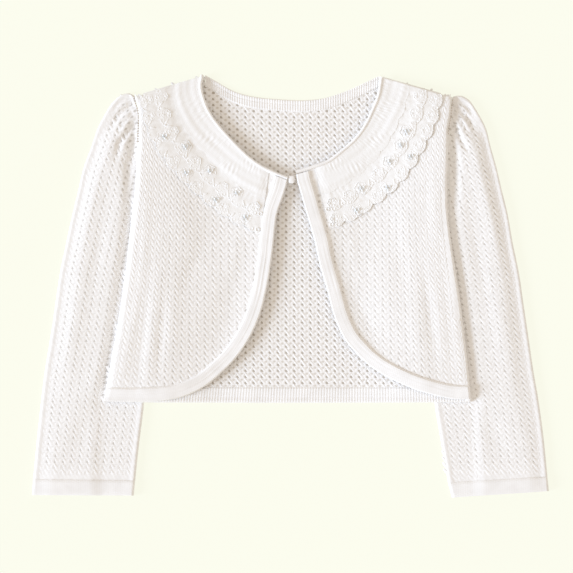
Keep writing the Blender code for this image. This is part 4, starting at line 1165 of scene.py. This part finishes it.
# A sleeve as a tube of cloth, which leaves room for the stitches on its top, and its cuff as a tube of its
# own that stands a little proud. The knit's columns follow the outer fold
def buildSleeve(side):
    sign = outward[side]
    rows = smoothRows(sleeveRows[side], sleeve["rows"])
    rings = sleeveRings(side, rows)
    share = np.linspace(0.0, 1.0, sleeve["across"])
    rings[:, :len(share), 2] -= sleeve["lift"] * ease(share / 0.05) * ease(share[::-1] / 0.05)
    guide = rows[:, 0:2][rows[:, 1].argsort()]
    outline = np.vstack([rows[:, 0:2], rows[:, 2:4][::-1]])
    loop = closedLoop(outline)

    def guideX(y):
        return np.interp(y, guide[:, 1], guide[:, 0])

    # painted shade in the open meshes fades out towards the folds
    def shadeInHolesAt(x, y):
        return ease((distanceTo(loop[::3], x, y) - 3.0) / 6.0)

    tube = clothTube("sleeve_" + side + "_cloth", rings, sleeve["wall"], finishes["ground"],
                     stitchSize, guideX, shadeInHolesAt)
    dense = sleeveRings(side, smoothRows(sleeveRows[side], sleeve["denseRows"]), sleeve["denseAcross"])
    topAt = heightMap(dense[:, :sleeve["denseAcross"]])

    def keep(x, y):
        clear = distanceTo(loop, x, y) > sleeve["rimClear"]
        return insideOf(outline, x, y) & clear & (y > sleeve["cuffTop"])

    def sunk(x, y):
        return (1.0 - clearOf(outline, sleeve["foldReach"], x, y)) * knit["rise"] * 0.9

    # Above, the body covers what is under it
    def shown(x, y):
        beside = (x - sideX(side, y)) * sign > 0.6
        return keep(x, y) & (beside | (y < pattern["hemY"] + 3.0))

    columns = (1.0, 100.0) if side == "left" else (-100.0, -1.0)
    above = stitchCentres(columns, sleeve["yRange"], shown, guideX)
    below = stitchCentres(columns, sleeve["yRange"], keep, guideX)
    upper = knitStrands("sleeve_" + side + "_stitches", above,
                        lambda x, y: topAt(x, y) - sleeve["lift"] - sunk(x, y), knit["rise"],
                        lean=-0.2 * sign, seed=11)
    lower = knitStrands("sleeve_" + side + "_under_stitches", below,
                        lambda x, y: sleeve["under"] + sunk(x, y), sleeve["under"],
                        lean=-0.2 * sign, downwards=True, seed=13)
    count = sleeve["cuffRings"]
    proud = np.interp(np.linspace(0.0, 1.0, count), [0.0, 0.14, 0.9, 1.0], [0.12, 1.0, 1.0, 0.5])
    cuffRows = rows[-1] + (cuffEnds[side] - rows[-1]) * np.linspace(-0.03, 1.0, count)[:, None]
    cuffRings = sleeveRings(side, cuffRows)
    raised = cuffRings[:, :, 2] > lay["sleeveEdge"] * 0.7
    cuffRings[:, :, 2] += sleeve["cuffProud"] * proud[:, None] * raised
    cuff = clothTube("cuff_" + side + "_cloth", cuffRings, sleeve["cuffWall"], finishes["rib"],
                     [1.0, 1.0])
    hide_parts("sleeve_" + side)
    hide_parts("cuff_" + side)
    return tube, upper, lower, cuff


collar = {
    "fan": {"left": (196.6, 262.0), "right": (-16.0, -76.5)},       # direction at the shoulder and the front
    "reach": {"left": (0.0, 0.857), "right": (0.0, 0.86)},          # share of the neckline it is sewn to
    "bed": 1.3, "gap": 0.3, "wall": 0.4, "thin": 0.16,              # the edge of each row thins out
    "endDrop": 0.55, "endFrom": 0.93,                               # the front end lies down on the panel
    "width": 130.0, "columns": 231,
    "threads": (0.3, 3.0), "thread": 0.26, "threadRise": 0.1,       # two threads this far inside the edge
    "tiers": {
        "outer": {"from": 35.0, "to": 54.0, "scallops": 11, "depth": 2.6, "lift": 0.0, "liftAt": 35.0},
        "middle": {"from": 20.0, "to": 41.0, "scallops": 9, "depth": 2.4, "lift": 0.45, "liftAt": 31.0},
        "inner": {"from": 2.7, "to": 25.5, "scallops": 8, "depth": 1.8, "lift": 0.45, "liftAt": 16.0},
    },
}
# Middles of the beaded flowers
beadFlowers = {
    "left": np.array([(-103.7, 121.4), (-86.5, 113.2), (-85.7, 91.8), (-66.4, 93.1), (-61.5, 69.7),
                      (-44.3, 75.4), (-37.3, 55.4)]),
    "right": np.array([(94.7, 125.5), (90.3, 114.3), (98.0, 105.0), (80.8, 100.9), (79.1, 79.5),
                       (57.8, 79.1), (53.7, 61.1)]),
}


# A place on the collar: out from the neckline by r, in a direction that turns evenly from shoulder to front
def collarPlace(side, share, r):
    first, last = collar["reach"][side]
    even = np.linspace(0.0, 1.0, 300)
    x, y = (np.interp(first + share * (last - first), even, k) for k in smoothPath(necklines[side], even).T)
    start, end = collar["fan"][side]
    angle = np.radians(start + (end - start) * share)
    return x + r * np.cos(angle), y + r * np.sin(angle)


# A tier's outer edge: scallops, each an arch |sin|^0.8 deep, with six small picots on it
def tierEdge(tier, share):
    lobe = np.abs(np.sin(math.pi * tier["scallops"] * share))
    picots = 0.4 * np.abs(np.sin(math.pi * tier["scallops"] * 6 * share))
    return tier["to"] - tier["depth"] * (1.0 - lobe ** 0.8) + picots


# Height of a tier's top over the front: it steps up where it lies on the tier below
def tierTop(tier, side, x, y, r):
    step = tier["lift"] * ease((r - tier["liftAt"] + 4.0) / 8.0)
    return frontFloor(side, x, y) + collar["bed"] + collar["gap"] + collar["wall"] + step


# How far the front end of a tier lies down
def endDrop(share):
    return collar["endDrop"] * ease((share - collar["endFrom"]) / (1.0 - collar["endFrom"]))


# Fine gathers of the lace: two sets of ridges that run outwards, uneven in pitch and height, deep in some
# places and smooth in others
def crinkle(share, r, count, strength):
    bend = 0.012 * np.sin(17.0 * share + 0.11 * r) + 0.008 * np.sin(41.0 * share + 0.3 * r)
    first = np.sin(2 * math.pi * count * (share + bend) + 0.12 * r)
    second = np.sin(2 * math.pi * count * 0.61 * (share - bend) - 0.21 * r + 1.0)
    uneven = 0.5 + 0.35 * np.sin(23.0 * share + 0.23 * r) + 0.3 * np.sin(9.0 * share - 0.31 * r + 2.0)
    return strength * np.maximum(uneven, 0.08) * (first + 0.7 * second)


# A tier of lace: a thin gathered sheet from its sewn edge to its scallops, where it thins out. The two larger
# tiers have threads along their edge, painted shade in their meshes as if open, and each scallop is a little
# raised
def buildTier(side, tierName):
    tier = collar["tiers"][tierName]
    name = "lace_" + tierName + "_" + side
    inner = tierName == "inner"
    share = np.linspace(0.0, 1.0, collar["columns"])[None]
    out = np.linspace(0.0, 1.0, 32 if inner else 23)[:, None]
    r = tier["from"] + (tierEdge(tier, share) - tier["from"]) * out
    share = np.broadcast_to(share, r.shape)
    flat = np.stack(collarPlace(side, share, r), axis=-1)
    top = tierTop(tier, side, flat[..., 0], flat[..., 1], r)
    if inner:
        top = top + crinkle(share, r, 38, 0.09) * ease(out / 0.08) * (1.0 - 0.6 * ease((out - 0.7) / 0.3))
        top = top + 0.08 * np.sin(r * 0.95 + 9.0 * share) * ease(out / 0.1)
    else:
        lobe = np.abs(np.sin(math.pi * tier["scallops"] * share))
        top = top + crinkle(share, r, 26, 0.07) + 0.16 * out * lobe
    thinned = np.maximum(ease((out - 0.75) / 0.25), ease((share - 0.96) / 0.04))
    wall = collar["wall"] + (collar["thin"] - collar["wall"]) * thinned
    under = top - endDrop(share) - collar["wall"]
    uvGrid = np.stack([share * collar["width"], r], axis=-1)
    sheet = clothShell(name + "_net", withHeight(flat, under + wall), withHeight(flat, under), uvGrid,
                       finishes["net" if inner else "netWithPaintedShade"])
    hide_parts(name)
    if inner:
        return [sheet]
    fine = np.linspace(0.012, 1.0, 300)
    edges = []
    for inset in collar["threads"]:
        edgeR = tierEdge(tier, fine) - inset
        x, y = collarPlace(side, fine, edgeR)
        height = tierTop(tier, side, x, y, edgeR) - collar["wall"] + collar["threadRise"] - endDrop(fine)
        edges.append(np.column_stack([x, y, height]))
    return [sheet, cordSet(name + "_edge", np.array(edges), collar["thread"], finishes["thread"])]


# Closed loops of thread: each an oval of the given half sizes, turned to its angle, on the tier's top; lobes
# swell its outline by 1 + 0.09 cos(lobes t)
def threadLoops(name, side, tier, centres, rOf, sizes, angles, radius, lift, stations=10, lobes=0):
    turn = np.linspace(0.0, 2 * math.pi, stations, endpoint=False)
    swell = 1.0 + 0.09 * np.cos(lobes * turn) * (lobes > 0)
    dx = sizes[:, :1] * np.cos(turn) * swell
    dy = sizes[:, 1:] * np.sin(turn) * swell
    c, s = np.cos(angles)[:, None], np.sin(angles)[:, None]
    x = centres[:, :1] + dx * c - dy * s
    y = centres[:, 1:] + dx * s + dy * c
    z = tierTop(tier, side, x, y, rOf[:, None]) + lift
    loops = np.stack([x, y, z], axis=-1)
    return cordSet(name, loops, radius, finishes["thread"], sides=4, closed=True)


flower = {
    "petals": 6, "reach": 4.5, "beaded": 1.15, "plain": 0.88,       # half size of a flower, and factors on it
    "petalWide": 2.5, "petalRise": 0.27, "thread": 0.33,
    "outerFrom": 38.5,                      # beaded ones this far from the neckline lie on the outer tier
    "plainIn": 6.6, "apart": 8.5,           # plain ones lie this far in from the edge, clear of beaded ones
    "ringPitch": 4.4, "ring": 1.45, "ringIn": 1.9, "ringThread": 0.3,
    "leafIn": 5.2, "leafHalf": 2.7, "leafAside": 0.016, "leafTilt": 0.5, "leafWide": 1.9, "leafRise": 0.32,
    "sides": 10, "bead": 0.85, "beadRise": 0.3,
    "sequins": 3, "sequin": 1.1, "sequinOut": 1.75, "sequinRise": 0.95, "sequinSlope": 0.22,
}


# Distance of places from the neckline
def collarReach(side, x, y):
    return distanceTo(smoothPath(necklines[side], np.linspace(0.0, 1.0, 60)), x, y)


# The flowers, rings and leaves of a tier. Outlines and rings are loops of thread, petals and leaves strands;
# beaded flowers have their own places, plain ones stand in the middle of a scallop that has none
def buildMotifs(side, tierName):
    tier = collar["tiers"][tierName]
    name = "lace_" + tierName + "_" + side
    petals = flower["petals"]
    beaded = beadFlowers[side]
    beyond = collarReach(side, beaded[:, 0], beaded[:, 1]) > flower["outerFrom"]
    beaded = beaded[beyond == (tierName == "outer")]
    count = tier["scallops"]
    at = (np.arange(count) + 0.5) / count
    mids = np.column_stack(collarPlace(side, at, np.full(count, tier["to"] - flower["plainIn"])))
    near = np.hypot(*(mids[:, None] - beaded[None]).transpose(2, 0, 1)).min(axis=1)
    middles = np.vstack([beaded, mids[near > flower["apart"]]])
    r = collarReach(side, middles[:, 0], middles[:, 1])
    isBeaded = np.arange(len(middles)) < len(beaded)
    reach = flower["reach"] * np.where(isBeaded, flower["beaded"], flower["plain"])
    rng = np.random.default_rng(21 if tierName == "outer" else 22)
    turn = rng.uniform(0, math.pi, len(middles))[:, None] + np.arange(petals) * 2 * math.pi / petals
    way = np.stack([np.cos(turn), np.sin(turn)], axis=-1)
    hearts = (middles[:, None] + way * 0.9).reshape(-1, 2)
    tips = (middles[:, None] + way * (reach * 0.94)[:, None, None]).reshape(-1, 2)
    petalR = np.repeat(r, petals)[:, None]
    rings = int(collar["width"] / flower["ringPitch"])
    ringAt = (np.arange(rings) + 0.5) / rings
    ringR = tierEdge(tier, ringAt) - flower["ringIn"]
    between = np.arange(1, count) / count
    leafAt = np.concatenate([between - flower["leafAside"], between + flower["leafAside"]])
    leafR = np.full((len(leafAt), 1), tier["to"] - flower["leafIn"])
    leaves = np.column_stack(collarPlace(side, leafAt, leafR[:, 0]))
    start, end = collar["fan"][side]
    tilt = np.repeat([flower["leafTilt"], -flower["leafTilt"]], count - 1)
    angle = np.radians(start + (end - start) * leafAt) + tilt
    half = flower["leafHalf"] * np.column_stack([np.cos(angle), np.sin(angle)])
    return [
        threadLoops(name + "_outlines", side, tier, middles, r, np.column_stack([reach, reach]), turn[:, 0],
                    flower["thread"], -0.05, stations=30, lobes=petals),
        strandSet(name + "_petals", hearts, tips, flower["petalWide"], flower["petalRise"],
                  lambda x, y: tierTop(tier, side, x, y, petalR), finishes["thread"], seed=23),
        threadLoops(name + "_rings", side, tier, np.column_stack(collarPlace(side, ringAt, ringR)), ringR,
                    np.full((rings, 2), flower["ring"]), np.zeros(rings), flower["ringThread"], -0.1),
        strandSet(name + "_leaves", leaves - half, leaves + half, flower["leafWide"], flower["leafRise"],
                  lambda x, y: tierTop(tier, side, x, y, leafR), finishes["thread"], seed=25),
    ]


# One shape, or a shape for each place, put at many places as one piece
def copiesOf(name, shape, places, faceSets, finish):
    points = (shape + places[:, None]).reshape(-1, 3)
    faceSets = [repeated(faces, len(places), shape.shape[-2]) for faces in faceSets]
    return makePiece(name, points, facingOut(points, faceSets)[0], finishes[finish])


# Beads and sequins: a low ball of six rings, and cupped discs round it that slope by chance
def buildGlints(side):
    middles = beadFlowers[side]
    reach = collarReach(side, middles[:, 0], middles[:, 1])
    outerTop, middleTop = (tierTop(collar["tiers"][k], side, *middles.T, reach) for k in ("outer", "middle"))
    base = np.where(reach > flower["outerFrom"], outerTop, middleTop)
    down = np.radians([12, 38, 64, 90, 116, 150])[:, None]
    sides = flower["sides"]
    around = np.linspace(0, 2 * math.pi, sides, endpoint=False)
    circle = np.stack([np.cos(around), np.sin(around)], axis=-1)
    ball = withHeight(np.sin(down)[..., None] * circle, np.cos(down) * np.ones(sides)) * flower["bead"]
    first = np.arange(sides)
    caps = np.stack([first[::-1], (len(down) - 1) * sides + first])
    copiesOf("beads_" + side, ball.reshape(-1, 3),
             np.column_stack([middles, base + flower["bead"] * 0.9 + flower["beadRise"]]),
             [gridFaces(len(down), sides, closed=True), caps], "bead")
    turn = np.arange(flower["sequins"]) * 2 * math.pi / flower["sequins"] + 0.5
    spots = middles[:, None] + flower["sequinOut"] * np.stack([np.cos(turn), np.sin(turn)], axis=-1)
    height = np.repeat(base, flower["sequins"]) + flower["sequinRise"]
    radii, lifts = np.array([0.3, 0.75, 1.0, 0.97, 0.3]), np.array([0.0, 0.05, 0.3, 0.16, -0.12])
    disc = withHeight(radii[:, None, None] * circle * flower["sequin"], lifts[:, None] * np.ones(sides))
    steepest = flower["sequinSlope"]
    slope = np.random.default_rng(31).uniform(-steepest, steepest, (len(height), 1, 2))
    shape = np.tile(disc.reshape(-1, 3), (len(height), 1, 1))
    shape[..., 2] += (shape[..., :2] * slope).sum(axis=-1)
    last, after = (len(radii) - 1) * sides, (first + 1) % sides
    inner = np.stack([last + first, last + after, after, first], axis=1)
    copiesOf("sequins_" + side, shape, np.column_stack([spots.reshape(-1, 2), height]),
             [np.concatenate([gridFaces(len(radii), sides, closed=True), inner])], "sequin")


# Share of an armhole that its seam shows on, and its thread's width; pitch and length of a stitch
seam = {"left": (0.0, 0.30, 1.25), "right": (0.0, 0.24, 0.7), "pitch": 2.1, "length": 1.6, "rise": 0.3}


# The overlocked seam at the top of an armhole: short strands in a row, on the higher of front and sleeve, tan
# with painted shade for the gaps between stitches
def buildSeam(side):
    first, last, width = seam[side]
    path = smoothPath(armholes[side], np.linspace(first, last, 40)) + [outward[side] * 0.3, 0.0]
    along = lengthsAlong(path)
    starts = np.arange(0.5, along[-1] - seam["length"], seam["pitch"])
    ends = readAlong(path, along, starts + seam["length"])

    def heightAt(x, y):
        return np.maximum(frontFloor(side, x, y) + front["shell"], lay["sleeveEdge"]) + 0.1

    return strandSet("armhole_seam_" + side, readAlong(path, along, starts), ends, width, seam["rise"],
                     heightAt, finishes["seamShade"], seed=41)


tab = {"centre": (0.95, 86.4), "size": np.array([5.0, 6.2, 1.8]), "rings": 14, "around": 28}


# The small fastening tab at the neck: a rounded cushion-like plate, near x^4 + y^4 + z^2 = 1
def buildTab():
    cx, cy = tab["centre"]
    half = tab["size"] / 2
    floor = float(frontFloor("left", np.array(cx - 3.0), np.array(cy))) + lay["gap"] + half[2]
    down = np.linspace(0.0, math.pi, tab["rings"])[1:-1, None]
    around = np.linspace(0.0, 2 * math.pi, tab["around"], endpoint=False)
    square = 1.0 / (np.cos(around) ** 4 + np.sin(around) ** 4) ** 0.25
    ring = np.stack([np.cos(around) * square, np.sin(around) * square], axis=-1)
    flat = np.sin(down)[..., None] ** 0.6 * ring * half[:2] + [cx, cy]
    rings = withHeight(flat, np.cos(down) * half[2] + floor + np.zeros(len(around)))
    made = closedBar("neck_tab_cloth", rings, np.linspace(0, 6, len(down)),
                     np.linspace(0, 18, len(around) + 1), finishes["rib"])
    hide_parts("neck_tab")


panels = {}
for side in sideNames:
    panels["front_" + side] = buildFront(side)
    panels["band_" + side] = buildFrontBand(side)
    panels["piping_" + side] = buildPiping(side)
    panels["roll_" + side] = buildSideRoll(side)
    panels["seam_" + side] = buildSeam(side)
print("fronts built")
panels["back"] = buildBack()
panels["backBands"] = buildBackBands()
print("back built")
for side in sideNames:
    panels["sleeve_" + side] = buildSleeve(side)
print("sleeves built")
for side in sideNames:
    for tierName in ("outer", "middle", "inner"):
        panels["lace_" + tierName + "_" + side] = buildTier(side, tierName)
    for tierName in ("outer", "middle"):
        panels["lace_" + tierName + "_" + side] += buildMotifs(side, tierName)
    buildGlints(side)
print("collar built")
buildTab()
# Floor, light and camera; the floor glows like a light table, so that it takes hardly any shadow
studio = {
    "floorTone": (0.12, 0.12, 0.106), "floorGlow": (0.974, 0.982, 0.863), "glow": 0.878,
    "floorSize": 6.0, "floorHeight": -0.0003,
    "sky": (1.0, 0.90, 0.785), "skyStrength": 0.72,
    "key": {"place": (-1.71, -0.38, 0.77), "spread": 24.0, "strength": 2.9, "tone": (0.66, 0.80, 1.0)},
    "frameWidth": 0.46986, "aim": (-0.00328, -0.00033), "cameraHeight": 2.4, "clothHeight": 0.005,
    "sensor": 36.0,
}


# A floor just under the garment, one low broad sun, and a camera whose lens takes in frameWidth at the cloth:
# sensor x (camera height - cloth height) / frameWidth
def buildStudio():
    half, low = studio["floorSize"] / 2.0, studio["floorHeight"]
    mesh = bpy.data.meshes.new("floor")
    mesh.from_pydata([(-half, -half, low), (half, -half, low), (half, half, low), (-half, half, low)],
                     [], [(0, 1, 2, 3)])
    made, _, shader = newFinish("pale_floor", 0.9, specular=0.1)
    shader.inputs["Base Color"].default_value = (*studio["floorTone"], 1.0)
    shader.inputs["Emission Color"].default_value = (*studio["floorGlow"], 1.0)
    shader.inputs["Emission Strength"].default_value = studio["glow"]
    mesh.materials.append(made)
    floor = bpy.data.objects.new("floor", mesh)
    bpy.context.scene.collection.objects.link(floor)
    world = bpy.data.worlds.new("soft_studio")
    world.use_nodes = True
    sky = world.node_tree.nodes["Background"].inputs
    sky["Color"].default_value, sky["Strength"].default_value = (*studio["sky"], 1.0), studio["skyStrength"]
    bpy.context.scene.world = world
    light = bpy.data.lights.new("key", "SUN")
    light.energy, light.color = studio["key"]["strength"], studio["key"]["tone"]
    light.angle = math.radians(studio["key"]["spread"])
    key = bpy.data.objects.new("key", light)
    key.location = studio["key"]["place"]
    key.rotation_mode = "QUATERNION"
    key.rotation_quaternion = Vector(studio["key"]["place"]).to_track_quat("Z", "Y")
    bpy.context.scene.collection.objects.link(key)
    camera = bpy.data.cameras.new("camera")
    camera.sensor_width = studio["sensor"]
    camera.lens = studio["sensor"] * (studio["cameraHeight"] - studio["clothHeight"]) / studio["frameWidth"]
    camera.clip_start, camera.clip_end = 0.1, 20.0
    eye = bpy.data.objects.new("camera", camera)
    eye.location = (*studio["aim"], studio["cameraHeight"])
    bpy.context.scene.collection.objects.link(eye)
    bpy.context.scene.camera = eye
    bpy.context.scene.view_settings.view_transform = "Standard"     # keeps the whites of the cloth clean


buildStudio()
print("studio ready")
